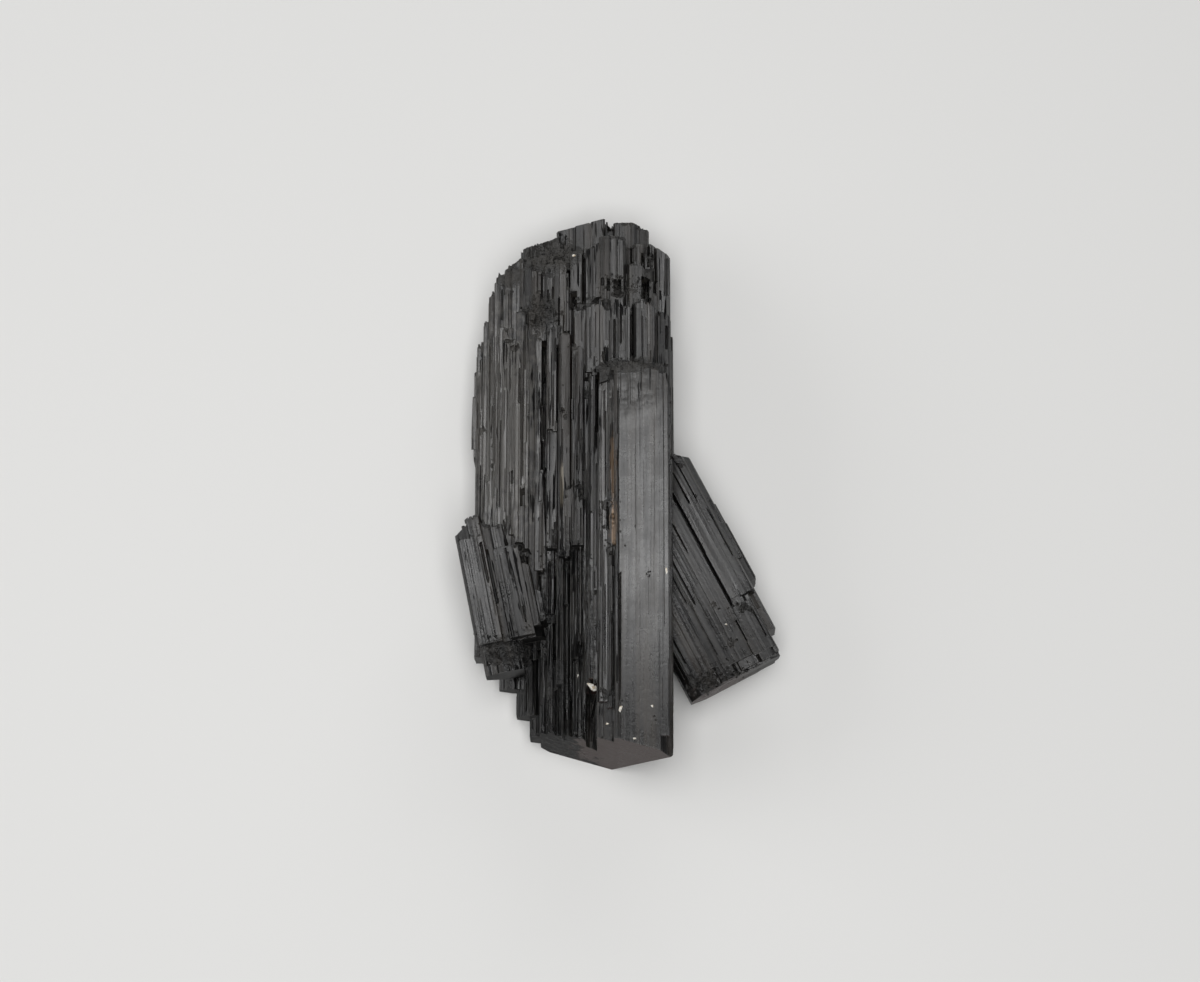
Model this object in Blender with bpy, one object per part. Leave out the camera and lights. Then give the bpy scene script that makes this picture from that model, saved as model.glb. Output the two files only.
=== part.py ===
"""Black tourmaline: a stepped, striated prism with two smaller prisms grown into its flanks.

The specimen lies on its back. X runs across it, Y runs up the main crystal's axis to its
head, and Z points away from the surface that it rests on. Every crystal is a bundle of
columns that share one orientation: walls parallel to the crystal's axis at the angles of
the trigonal and hexagonal prisms, and ends cut by low faces. Sizes are in millimetres and
become metres when a body is placed.
"""

import math
import random

import bmesh
import bpy
from mathutils import Matrix, Vector

MM = 0.001
NAME = "tourmaline"
SEED = 23

# Middle of the specimen's base, measured across and up from the main crystal's middle.
BASE_MIDDLE = (2.2, 1.2, 0.0)

# Main crystal: its right flank, its face away from the surface, the end of the columns that
# the foot's plane cuts, and the end of the left flank.
MAIN_RIGHT = 8.8
MAIN_FRONT = 16.8
MAIN_FOOT = -38.0
FLANK_FOOT = -21.0

# Side crystals: lean of the axis, middle of the foot, and the levels of the front and the back.
LEFT_LEAN = 11.5
LEFT_FOOT_PLACE = (-12.2, -21.1, 0.0)
LEFT_FRONT = 14.8
LEFT_BACK = 6.2
RIGHT_LEAN = 27.5
RIGHT_FOOT_PLACE = (16.3, -23.3, 0.0)
RIGHT_FRONT = 11.0
RIGHT_BACK = 2.2

# Level from which the columns of a row rise, inside the body that they grow from.
CROWN_BACK = 0.9
TERRACE_BACK = 1.5
MAIN_ROOT = 3.0
ENDS_ROOT = 5.0
LEFT_ROOT = 9.0
RIGHT_ROOT = 5.0

# Bevels on a column's walls, as angles from the outward direction, and how far they wander.
BEVEL_ANGLES = (-60.0, 30.0, 60.0)
BEVEL_SHARES = ((0.05, 0.16), (0.03, 0.10), (0.05, 0.16))
ANGLE_WANDER = 4.0
BEVEL_LIMIT = 0.35

# A column's ends: tilt of the low pyramid face and its depth as a share of the width, tilt
# of a broken corner, and how far the foot leans.
PYRAMID_TILT = 27.0
PYRAMID_SHARE = 0.12
CORNER_TILT = 40.0
FOOT_LEANS = (2.0, 8.0)
END_WANDER = 3.0

# How far a column reaches under its right neighbour, how far its root and foot wander, and
# how far it turns about its own axis (degrees).
OVERLAP = 0.35
ROOT_WANDER = 0.3
FOOT_WANDER = 0.12
TWIST = 1.0

# Columns of a fringe: how deep they root, how far they tuck under the next one, and how far
# their tops slope. Length of the short columns that make a broken end.
FRINGE_DEPTH = 2.5
FRINGE_TUCK = 0.05
FRINGE_SLOPE = 25.0
SHORT_COLUMN = 5.0
SHORT_SLOPE = 30.0

# Furrows narrow inwards by a share of their width on walls at this angle.
FURROW_WALL = 150.0
FURROW_WALL_WANDER = 8.0
FURROW_SHARE = 0.2
FURROW_END = (180.0, 20.0, 0.6)

# Stones and pits: corners broken off, their depth as a share of the size, and the stretch
# across, along and outwards.
CHIP_CORNERS = 6
CHIP_SHARES = (0.12, 0.3)
CHIP_STRETCH = ((0.6, 1.0), (0.8, 1.6), (0.6, 1.0))

# Rows of columns: left, right, front, foot, top, rise of the top to the right in degrees,
# and the bevel on the corner that the top falls to.
CROWN = (
    (-5.6, -3.2, 8.3, 20.0, 35.1, 14.6, 0.0),
    (-3.3, -1.3, 8.6, 20.0, 35.7, 14.6, 0.0),
    (-1.4, 0.3, 8.7, 20.0, 36.3, 14.6, 0.2),
    (0.4, 1.7, 6.4, 20.0, 36.2, -38.0, 0.0),
    (1.7, 3.8, 9.3, 20.0, 35.2, 6.0, 0.0),
    (3.8, 4.9, 9.4, 20.0, 35.1, -32.0, 0.0),
    (4.9, 5.9, 9.3, 20.0, 34.3, -4.0, 0.3),
    (6.1, 6.8, 8.7, 18.0, 32.4, -37.0, 0.0),
    (6.8, 8.6, 9.0, 18.0, 31.9, -37.0, 0.0),
)
TERRACE = (
    (-9.9, -8.6, 8.8, 14.0, 32.3, 6.0, 0.5),
    (-8.7, -7.4, 9.1, 14.0, 33.3, 20.0, 0.0),
    (-7.4, -6.3, 9.0, 14.0, 33.6, -18.0, 0.4),
    (-6.5, -5.4, 9.2, 14.0, 33.9, 24.0, 0.0),
)
SHOULDER = (
    (-15.6, -14.7, 7.4, FLANK_FOOT, 19.4, 22.0, 0.0),
    (-16.0, -15.1, 6.6, 4.3, 16.2, 18.0, 0.0),
    (-14.8, -14.0, 8.5, FLANK_FOOT, 22.3, 35.0, 0.0),
    (-14.1, -13.3, 9.3, FLANK_FOOT, 25.9, 50.0, 0.0),
    (-13.4, -12.7, 9.9, FLANK_FOOT, 27.3, 30.0, 0.0),
    (-12.8, -12.0, 10.3, -20.0, 27.9, 18.0, 0.0),
    (-12.1, -11.1, 10.7, -20.0, 28.8, 30.0, 0.0),
    (-11.2, -9.9, 11.1, -19.0, 29.8, 26.0, 0.0),
)
UPPER_FRONT = (
    (-10.1, -8.7, 11.4, 16.0, 28.6, 10.0, 0.3),
    (-8.7, -7.6, 11.6, 14.0, 28.0, -12.0, 0.2),
    (-7.7, -6.9, 11.4, 16.0, 27.4, 8.0, 0.0),
    (-7.0, -5.7, 11.7, 15.0, 28.9, 12.0, 0.2),
    (-5.7, -4.3, 11.9, 14.0, 29.3, -8.0, 0.3),
    (-3.8, -2.4, 11.9, 15.0, 30.7, 10.0, 0.0),
    (-1.9, -0.9, 12.1, 15.0, 30.9, 12.0, 0.0),
    (-1.0, 0.0, 12.3, 15.0, 31.3, 14.0, 0.0),
    (-0.1, 1.0, 12.5, 15.0, 32.3, 4.0, 0.0),
    (0.9, 3.0, 12.6, 15.0, 32.4, -4.0, 0.6),
    (3.2, 3.9, 10.4, 16.0, 31.4, -6.0, 0.0),
    (4.1, 5.2, 10.9, 16.0, 31.8, 8.0, 0.0),
    (3.4, 5.4, 12.6, 14.0, 28.7, -14.0, 0.3),
    (5.5, 6.1, 10.2, 16.0, 30.6, -20.0, 0.0),
    (5.8, 7.1, 12.4, 14.0, 26.4, -12.0, 0.2),
    (7.8, 8.8, 11.4, 3.4, 19.8, -10.0, 0.0),
)
MIDDLE_FRONT = (
    (-12.3, -11.2, 11.2, -10.0, 20.6, 16.0, 0.0),
    (-11.3, -10.4, 11.7, -7.2, 18.9, -10.0, 0.2),
    (-10.5, -9.5, 12.2, -8.2, 22.4, -4.0, 0.2),
    (-9.6, -8.7, 12.1, -8.5, 20.8, -14.0, 0.2),
    (-8.8, -8.0, 12.5, -15.0, 19.4, 14.0, 0.0),
    (-8.1, -7.2, 12.9, -12.0, 18.8, -5.0, 0.4),
    (-6.6, -5.3, 13.6, 6.4, 20.3, 34.0, 0.0),
    (-6.6, -5.4, 13.0, -9.0, 12.0, 0.0, 0.0),
    (-5.1, -3.9, 13.9, -9.7, 19.2, 6.0, 0.3),
    (-3.5, -2.3, 14.2, -9.0, 17.4, 4.0, 0.4),
    (-3.3, -1.7, 14.1, 12.0, 22.6, 40.0, 0.2),
    (-1.8, -0.1, 14.5, 12.6, 22.9, -4.0, 0.2),
    (-0.1, 1.1, 14.9, 13.6, 23.4, -8.0, 0.2),
    (1.1, 2.0, 14.7, 13.8, 23.3, 10.0, 0.0),
    (2.1, 3.5, 14.9, 14.0, 22.4, -6.0, 0.2),
    (4.2, 6.7, 16.0, 4.0, 22.7, -3.0, 0.8),
    (7.1, 8.4, 14.9, MAIN_FOOT, 21.7, -10.0, 0.5),
)
LOWER_FRONT = (
    (-7.3, -6.4, 8.9, MAIN_FOOT, -4.0, 0.0, 0.0),
    (-6.6, -5.9, 11.7, -17.0, 2.0, 0.0, 0.0),
    (-6.4, -5.3, 10.2, -31.4, -4.0, 0.0, 0.0),
    (-5.3, -4.7, 12.5, -25.0, 2.0, 0.0, 0.0),
    (-4.7, -3.6, 11.3, MAIN_FOOT, 2.0, 0.0, 0.0),
    (-3.6, -3.1, 13.0, -22.5, 2.0, 0.0, 0.0),
    (-3.3, -2.2, 11.7, -32.0, 4.0, 0.0, 0.0),
    (-2.2, -1.3, 12.7, -30.5, 18.0, 0.0, 0.0),
    (-1.4, -0.5, 13.9, -24.6, 16.0, 0.0, 0.0),
)
LEFT_CRYSTAL = (
    (-2.6, -0.9, 13.6, 2.2, 16.4, 34.0, 0.0),
    (-0.9, 0.6, 14.1, 1.6, 17.2, 10.0, 0.2),
    (0.7, 1.6, 13.9, 0.9, 16.2, -20.0, 0.0),
    (1.7, 3.0, LEFT_FRONT, 1.0, 15.4, -6.0, 0.3),
    (3.2, 4.4, 14.6, 1.4, 11.9, -5.0, 0.0),
    (4.4, 5.3, 14.1, 2.0, 10.3, -16.0, 0.2),
    (5.3, 6.1, 12.8, 2.8, 7.0, -16.0, 0.2),
)
RIGHT_CRYSTAL = (
    (-5.2, -3.4, 9.9, 0.2, 25.0, 0.0, 0.0),
    (-3.4, -1.9, 10.2, -0.3, 27.0, 0.0, 0.0),
    (-1.9, 0.6, 10.5, -0.5, 27.6, 0.0, 0.0),
    (0.5, 1.4, 10.7, 4.6, 26.0, 0.0, 0.0),
    (1.3, 3.6, 10.5, 4.2, 28.2, -3.0, 0.0),
    (0.9, 3.7, 10.0, -0.6, 8.0, 0.0, 0.0),
    (4.3, 5.5, 10.8, 8.6, 28.4, -6.0, 0.0),
    (5.4, 7.0, RIGHT_FRONT, 7.5, 28.2, -8.0, 0.8),
    (3.8, 5.6, 10.2, -0.5, 10.0, 0.0, 0.0),
    (5.3, 6.2, 9.8, -0.2, 12.0, -20.0, 0.0),
    (7.0, 7.7, 10.0, 12.4, 27.2, -38.0, 0.0),
    (7.0, 8.0, 9.2, 9.0, 20.4, -18.0, 0.0),
    (6.4, 7.3, 8.6, 2.6, 14.0, -24.0, 0.0),
)

# Bodies that the columns grow from: left, right, back, front, foot and top; bevels on the
# walls as pairs of angle and depth; bevels on the top as heading, tilt and depth. A back
# below zero is planed off where the specimen rests.
CORES = (
    (-0.8, 8.8, -0.5, 14.4, MAIN_FOOT, 21.0, ((45, 1.0), (150, 0.5), (120, 3.6)), ()),
    (-1.0, 8.4, -0.4, 8.3, 15.0, 29.6, ((45, 0.8), (130, 2.4)), ()),
    (-2.5, 6.9, 1.0, 11.9, 12.0, 28.6, ((50, 0.9),), ((0, 35, 1.0),)),
    (-7.4, 0.4, -0.6, 10.8, MAIN_FOOT, -12.0, ((-45, 2.4), (-130, 1.2)), ()),
    (-8.6, 0.0, -0.5, 11.1, -17.0, 18.0, ((-40, 0.9), (-150, 1.0)), ()),
    (-8.8, 0.0, 0.4, 10.9, 10.0, 27.6, ((-40, 0.6),), ()),
    (-14.6, -7.8, 1.2, 9.1, FLANK_FOOT, 17.6, ((-50, 1.7), (-130, 3.0)), ()),
    (-12.9, -7.8, 1.8, 10.2, 5.0, 25.9, ((-50, 1.2), (-130, 2.2)), ()),
    (-11.6, -7.8, 1.8, 11.2, -18.0, 19.6, ((-40, 0.9),), ()),
    (-12.6, -7.0, 0.9, 5.2, -24.4, -12.0, ((-40, 1.2), (-130, 1.2)), ()),
    (-10.4, -7.0, -0.5, 6.3, -27.8, -10.0, ((-45, 1.4), (-130, 1.3)), ()),
    (-8.7, -6.0, -0.6, 7.4, -30.6, -10.0, ((-45, 1.6), (-130, 1.2)), ()),
)
BIG_PRISM = (
    (-0.3, 1.5, MAIN_ROOT, 15.6, -27.2, 13.6, ((-60, 0.2),), ((0, 40, 0.5),)),
    (0.9, 2.6, MAIN_ROOT, 16.2, -28.0, 13.2, ((-45, 0.3),), ((-10, 50, 0.5),)),
    (-0.3, 2.4, MAIN_ROOT, 14.3, MAIN_FOOT, -20.0, ((-60, 0.9), (-35, 0.5)), ()),
    (1.7, MAIN_RIGHT, 2.0, MAIN_FRONT, MAIN_FOOT, 14.6,
     ((-50, 0.3), (16, 0.15), (38, 0.62), (62, 0.95), (120, 3.0)), ((10, 58, 0.6), (-60, 40, 0.5))),
)
LEFT_CORES = (
    (-2.2, 2.6, LEFT_BACK, 12.9, -2.3, 14.6, ((-35, 0.9), (-130, 1.8)), ()),
    (1.8, 5.9, LEFT_BACK, 13.1, 1.2, 11.4, ((60, 1.0), (135, 1.6)), ()),
)
RIGHT_CORES = (
    (-5.8, 6.5, RIGHT_BACK, 9.7, -0.4, 26.0, ((-60, 1.1), (45, 1.0), (-130, 1.7), (130, 2.2)), ()),
    (4.0, 7.6, 4.2, 9.4, 6.0, 27.0, ((45, 0.9), (130, 1.4)), ()),
)

# Furrows cut from the front: left, right, level of the bottom, foot and top.
FURROWS = (
    (-7.3, -6.6, 10.2, 10.6, 18.5),
    (-7.35, -6.95, 11.0, 1.6, 11.0),
    (-5.45, -5.1, 12.2, 6.6, 17.8),
    (-0.6, -0.05, 12.0, 6.2, 13.6),
    (3.75, 4.2, 12.3, 15.0, 22.4),
    (-4.2, -3.75, 9.4, 25.8, 29.2),
    (-2.3, -1.8, 9.4, 23.4, 30.2),
    (-3.7, -2.9, 10.2, 22.8, 25.2),
    (0.8, 1.3, 10.6, 25.0, 26.7),
    (1.7, 2.7, 9.8, 24.4, 26.5),
    (5.2, 6.2, 9.0, 23.4, 26.9),
    (6.7, 7.1, 8.2, 24.4, 26.6),
    (5.2, 5.7, 8.8, 28.6, 30.5),
    (6.0, 6.3, 7.4, 28.8, 31.8),
    (-9.9, -9.1, 10.4, -2.6, -0.2),
    (-1.7, -0.35, 8.0, -36.0, -24.8),
    (1.45, 1.8, 15.5, -30.0, -8.0),
)
LEFT_FURROWS = (
    (0.75, 1.1, 12.6, 6.0, 13.0),
    (1.6, 1.9, 13.2, 2.0, 9.0),
    (3.05, 3.3, 13.4, 4.0, 11.6),
    (4.2, 4.6, 13.6, 3.4, 5.2),
)
RIGHT_FURROWS = (
    (3.9, 4.4, 8.8, 9.4, 28.0),
    (1.2, 1.5, 9.4, 12.0, 27.0),
    (-1.95, -1.7, 9.4, 12.0, 25.0),
    (5.3, 5.5, 9.8, 16.5, 24.5),
    (-4.6, -4.2, 8.6, 4.0, 20.0),
)

# Broken ends: span across, levels of the layers, tops of the first and last layer, and
# how far a top strays.
TERRACE_ENDS = ((-10.1, -4.2), (8.9, 9.6, 10.3, 11.0), (33.0, 28.8), 0.9)
SHOULDER_ENDS = ((-13.2, -9.9), (9.4, 10.1), (27.8, 26.0), 0.5)
POCKET_ENDS = ((-9.3, -5.6), (11.6, 12.0, 12.4), (25.0, 20.4), 0.9)
LEFT_ENDS = ((-1.9, 2.2), (12.8, 13.3), (-1.4, 1.4), 0.5)
ENDS_WIDTHS = (0.6, 1.1)

# Broken ground: middle of the patch, half its spread, sizes of the stones, how many.
TERRACE_RUBBLE = ((-7.0, 30.0, 9.9), (2.4, 2.4, 0.15), (0.9, 1.6), 9)
LEDGE_RUBBLE = ((2.7, 13.8, 15.0), (2.9, 0.7, 0.35), (1.1, 1.9), 12)
LEFT_RUBBLE = ((0.2, 0.2, 12.6), (1.9, 1.2, 0.3), (0.8, 1.4), 7)
TERRACE_FALL = -0.5

# Fringes of columns on the sides that the tables leave plain: turn about the axis, span
# across, levels of the fronts, reach of the feet and the tops, and widths.
MAIN_FRINGES = (
    ("right_flank", 90.0, (-11.5, -2.0), (8.2, 8.8), (-32.0, -12.0), (4.0, 24.0), (0.8, 1.9)),
    ("left_flank", -90.0, (2.2, 7.0), (14.2, 15.2), (-20.0, -12.0), (8.0, 18.0), (0.7, 1.5)),
    ("back", 180.0, (-6.4, 7.6), (-0.7, 0.3), (-30.0, -20.0), (14.0, 27.0), (0.9, 2.4)),
    ("back_left", 180.0, (7.7, 12.4), (-1.9, -1.0), (-20.0, -12.0), (6.0, 22.0), (0.8, 1.8)),
)
LEFT_FRINGES = (
    ("left_back", 180.0, (-5.6, 1.6), (-6.6, -5.9), (-2.0, 1.0), (11.0, 14.5), (0.8, 1.7)),
)
RIGHT_FRINGES = (
    ("right_back", 180.0, (-6.0, 4.4), (-2.4, -1.6), (-0.4, 2.0), (18.0, 25.0), (0.9, 2.2)),
)

# Pitted ground: middle of the patch, half its spread, pit sizes, number of pits.
PITS = (
    ((-13.9, 4.5, 9.3), (0.9, 1.6, 0.3), (0.4, 0.8), 5),
    ((-10.7, 17.7, 12.1), (0.5, 0.7, 0.2), (0.4, 0.7), 3),
    ((-2.7, -0.4, 14.3), (0.4, 1.4, 0.2), (0.35, 0.7), 4),
    ((1.5, -6.5, 16.2), (1.0, 3.6, 0.3), (0.5, 1.1), 9),
    ((5.6, -9.9, 16.8), (0.4, 0.4, 0.1), (0.3, 0.5), 2),
    ((-4.6, 9.0, 14.0), (0.5, 1.2, 0.2), (0.4, 0.8), 4),
    ((0.8, -26.6, 15.8), (1.0, 0.8, 0.2), (0.5, 0.9), 4),
)
LEFT_PITS = ((0.9, 5.6, 14.0), (1.3, 3.0, 0.3), (0.4, 0.8), 7)
RIGHT_PITS = ((3.2, 4.0, 10.1), (1.6, 1.4, 0.3), (0.5, 1.1), 6)

# Planes that trim the specimen, each through three points, and a point that stays.
FOOT_PLANE = ((0.0, -33.5, 0.0), (10.0, -36.3, 0.0), (0.0, -32.1, 10.0))
FOOT_FACET = ((1.5, -33.9, 0.0), (8.3, -33.8, 14.5), (7.5, -30.0, 2.0))
REST_PLANE = ((0.0, 0.0, 0.0), (1.0, 0.0, 0.0), (0.0, 1.0, 0.0))
INSIDE = (0.0, 0.0, 8.0)
SLICE_SIZE = 80.0

# Colour and finish of the mineral.
BLACK = (0.012, 0.011, 0.011, 1.0)
ROUGHNESS = 0.3


def trim(bm, normal, inset):
    """Cut a convex body with a plane that stands inset inside its furthest point."""
    normal = Vector(normal).normalized()
    reach = max(vert.co.dot(normal) for vert in bm.verts)
    geometry = bm.verts[:] + bm.edges[:] + bm.faces[:]
    cut = bmesh.ops.bisect_plane(
        bm, geom=geometry, plane_co=normal * (reach - inset), plane_no=normal, clear_outer=True)
    rim = [item for item in cut["geom_cut"] if isinstance(item, bmesh.types.BMEdge)]
    if rim:
        bmesh.ops.edgeloop_fill(bm, edges=rim)


def wall_normal(angle):
    """Direction across the axis, at an angle from outward that is positive to the right."""
    angle = math.radians(angle)
    return math.sin(angle), 0.0, math.cos(angle)


def end_normal(end, heading, tilt):
    """Direction of an end face that leans off the axis towards a heading from outward."""
    heading, tilt = math.radians(heading), math.radians(tilt)
    return math.sin(tilt) * math.sin(heading), end * math.cos(tilt), math.sin(tilt) * math.cos(heading)


def block(left, right, back, front, foot, top):
    """A box between six planes, as the blank of a crystal."""
    bm = bmesh.new()
    size = Vector((right - left, top - foot, front - back))
    middle = Vector((left + right, foot + top, back + front)) / 2
    bmesh.ops.create_cube(bm, size=1.0, matrix=Matrix.Translation(middle) @ Matrix.Diagonal(size).to_4x4())
    return bm


def add_body(name, bm, placing, collection):
    """Turn a body in millimetres into an object in metres."""
    bm.normal_update()
    bmesh.ops.recalc_face_normals(bm, faces=bm.faces)
    bm.transform(Matrix.Scale(MM, 4) @ placing)
    mesh = bpy.data.meshes.new(name)
    bm.to_mesh(mesh)
    bm.free()
    body = bpy.data.objects.new(name, mesh)
    collection.objects.link(body)
    return body


def lean(place, angle):
    """Placing of a side crystal: the middle of its foot, and its axis leaned to the left."""
    place = Vector(place) - Vector(BASE_MIDDLE)
    return Matrix.Translation(place) @ Matrix.Rotation(math.radians(angle), 4, "Z")


def facing(angle):
    """Turn a column's outward direction about the axis, for columns on a flank or the back."""
    return Matrix.Rotation(math.radians(angle), 4, "Y")


def column_body(row, root, rng):
    """One column of a crystal, with bevelled walls, a sloping top and a low end pyramid."""
    left, right, front, foot, top, rise, corner = row
    width = right - left
    root += rng.uniform(-ROOT_WANDER, ROOT_WANDER)
    foot += rng.uniform(-FOOT_WANDER, FOOT_WANDER)
    bm = block(left, right + OVERLAP, root, front, foot, top)
    for angle, (least, most) in zip(BEVEL_ANGLES, BEVEL_SHARES):
        wander = rng.uniform(-ANGLE_WANDER, ANGLE_WANDER)
        depth = min(width * rng.uniform(least, most), BEVEL_LIMIT)
        trim(bm, wall_normal(angle + wander), depth)
    slope = rise + rng.uniform(-END_WANDER, END_WANDER) * (rise == 0.0)
    trim(bm, end_normal(1, -90, slope), width * math.sin(math.radians(abs(slope))) + 0.001)
    if corner:
        trim(bm, end_normal(1, 90 if rise < 10 else -90, CORNER_TILT), corner)
    trim(bm, end_normal(1, rng.uniform(-30, 30), PYRAMID_TILT), PYRAMID_SHARE * width)
    tilt = rng.uniform(*FOOT_LEANS)
    trim(bm, end_normal(-1, 0, tilt), (front - root) * math.sin(math.radians(tilt)))
    pivot = Matrix.Translation(((left + right) / 2, 0.0, front))
    twist = Matrix.Rotation(math.radians(rng.uniform(-TWIST, TWIST)), 4, "Y")
    bm.transform(pivot @ twist @ pivot.inverted())
    return bm


def grow_cores(name, rows, placing, collection):
    """Build the bodies of a table of cores."""
    for index, row in enumerate(rows):
        add_body(f"{name}_{index}", core_body(row), placing, collection)


def grow_rows(name, rows, root, placing, collection, rng):
    """Grow every column of a row table from one root level."""
    for index, row in enumerate(rows):
        add_body(f"{name}_{index}", column_body(row, root, rng), placing, collection)


def core_body(row):
    """The body of a crystal: a beveled block that its columns grow from."""
    left, right, back, front, foot, top, walls, ends = row
    bm = block(left, right, back, front, foot, top)
    for angle, depth in walls:
        trim(bm, wall_normal(angle), depth)
    for heading, tilt, depth in ends:
        trim(bm, end_normal(1, heading, tilt), depth)
    return bm


def grow_fringes(rows, placing, collection, rng):
    """Columns side by side along a flank or the back, with uneven levels and ends."""
    for name, turn, (start, stop), levels, feet, tops, widths in rows:
        across, index = start, 0
        while across < stop:
            width = rng.uniform(*widths)
            front = rng.uniform(*levels)
            row = (across, min(across + width, stop) + FRINGE_TUCK, front, rng.uniform(*feet),
                   rng.uniform(*tops), rng.uniform(-FRINGE_SLOPE, FRINGE_SLOPE), 0.0)
            body = column_body(row, front - FRINGE_DEPTH, rng)
            add_body(f"{name}_{index}", body, placing @ facing(turn), collection)
            across += width
            index += 1


def break_ends(name, field, root, end, placing, collection, rng):
    """Layers of short columns whose uneven ends fall away towards the front."""
    (start, stop), levels, (first_end, last_end), stray = field
    for layer, level in enumerate(levels):
        share = layer / (len(levels) - 1)
        middle = first_end + (last_end - first_end) * share
        across, index = start + 0.3 * layer, 0
        while across < stop:
            width = rng.uniform(*ENDS_WIDTHS)
            reach = middle + rng.uniform(-stray, stray)
            foot, top = (reach - SHORT_COLUMN, reach) if end > 0 else (reach, reach + SHORT_COLUMN)
            front = level + rng.uniform(-ROOT_WANDER, ROOT_WANDER)
            row = (across, across + width, front, foot, top,
                   rng.uniform(-SHORT_SLOPE, SHORT_SLOPE), 0.0)
            add_body(f"{name}_{layer}_{index}", column_body(row, root, rng), placing, collection)
            across += width
            index += 1


def chip_body(middle, size, rng):
    """A small angular stone: a turned cube with its corners broken off."""
    bm = bmesh.new()
    bmesh.ops.create_cube(bm, size=size)
    for _ in range(CHIP_CORNERS):
        trim(bm, [rng.uniform(-1, 1) for _ in range(3)], size * rng.uniform(*CHIP_SHARES))
    stretch = Matrix.Diagonal([rng.uniform(*shares) for shares in CHIP_STRETCH]).to_4x4()
    turn = Matrix.Rotation(rng.uniform(0, math.tau), 4, (rng.uniform(-1, 1), rng.uniform(-1, 1), 0.4))
    bm.transform(Matrix.Translation(middle) @ turn @ stretch)
    return bm


def scatter_chips(name, patch, placing, collection, rng, fall=0.0):
    """Scatter angular stones over a patch, whose level may fall along the axis."""
    middle, spread, sizes, count = patch
    for index in range(count):
        offset = Vector([rng.uniform(-reach, reach) for reach in spread])
        offset.z += offset.y * fall
        add_body(f"{name}_{index}", chip_body(Vector(middle) + offset, rng.uniform(*sizes), rng),
                 placing, collection)


def cut_furrows(name, rows, placing, collection, rng):
    """Cutters for furrows: columns of air that run along the axis and narrow inwards."""
    for index, (left, right, bottom, foot, top) in enumerate(rows):
        bm = block(left, right, bottom, MAIN_FRONT + 1, foot, top)
        for angle in (-FURROW_WALL, FURROW_WALL):
            angle += rng.uniform(-FURROW_WALL_WANDER, FURROW_WALL_WANDER)
            trim(bm, wall_normal(angle), FURROW_SHARE * (right - left))
        heading, tilt, depth = FURROW_END
        trim(bm, end_normal(1, heading, tilt), depth)
        add_body(f"{name}_{index}", bm, placing, collection)


def slice_beyond(name, points, placing, collection):
    """Cutter that takes away all that lies beyond the plane through three points."""
    first, second, third = (Vector(point) for point in points)
    normal = (second - first).cross(third - first).normalized()
    if normal.dot(Vector(INSIDE) - first) > 0:
        normal.negate()
    bm = bmesh.new()
    bmesh.ops.create_cube(bm, size=SLICE_SIZE, matrix=Matrix.Translation((0.0, 0.0, SLICE_SIZE / 2)))
    bm.transform(Matrix.Translation(first) @ normal.to_track_quat("Z", "Y").to_matrix().to_4x4())
    add_body(name, bm, placing, collection)


def tourmaline_material():
    """Glassy black mineral."""
    material = bpy.data.materials.new("black_tourmaline")
    material.use_nodes = True
    shader = material.node_tree.nodes["Principled BSDF"]
    shader.inputs["Base Color"].default_value = BLACK
    shader.inputs["Roughness"].default_value = ROUGHNESS
    shader.inputs["Metallic"].default_value = 0.0
    shader.inputs["IOR"].default_value = 1.65
    material.diffuse_color = BLACK
    return material


def combine(body, operation, collection):
    """Join a collection's bodies to a crystal, or cut them from it."""
    boolean = body.modifiers.new(f"{operation.lower()}_{collection.name}", "BOOLEAN")
    boolean.operation = operation
    boolean.operand_type = "COLLECTION"
    boolean.collection = collection
    boolean.solver = "MANIFOLD"


def grow_main(specimen, rng):
    """The main crystal: crown, terrace, shoulder, fronts, flanks and back."""
    growth, hollows = make_collection("main_columns"), make_collection("main_cutters")
    upright = Matrix.Translation(-Vector(BASE_MIDDLE))
    crystal = add_body(NAME, core_body(CORES[0]), upright, specimen)
    grow_cores("core", CORES[1:] + BIG_PRISM, upright, growth)
    grow_rows("crown", CROWN, CROWN_BACK, upright, growth, rng)
    grow_rows("terrace", TERRACE, TERRACE_BACK, upright, growth, rng)
    for name, rows in (("shoulder", SHOULDER), ("upper", UPPER_FRONT), ("middle", MIDDLE_FRONT),
                       ("lower", LOWER_FRONT)):
        grow_rows(name, rows, MAIN_ROOT, upright, growth, rng)
    grow_fringes(MAIN_FRINGES, upright, growth, rng)
    for name, field in (("terrace_end", TERRACE_ENDS), ("shoulder_end", SHOULDER_ENDS),
                        ("pocket_end", POCKET_ENDS)):
        break_ends(name, field, ENDS_ROOT, 1, upright, growth, rng)
    scatter_chips("terrace_chip", TERRACE_RUBBLE, upright, growth, rng, TERRACE_FALL)
    scatter_chips("ledge_chip", LEDGE_RUBBLE, upright, growth, rng)
    combine(crystal, "UNION", growth)

    cut_furrows("furrow", FURROWS, upright, hollows, rng)
    for index, patch in enumerate(PITS):
        scatter_chips(f"pit_{index}", patch, upright, hollows, rng)
    slice_beyond("foot_plane", FOOT_PLANE, upright, hollows)
    slice_beyond("foot_facet", FOOT_FACET, upright, hollows)
    combine(crystal, "DIFFERENCE", hollows)
    return crystal


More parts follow.
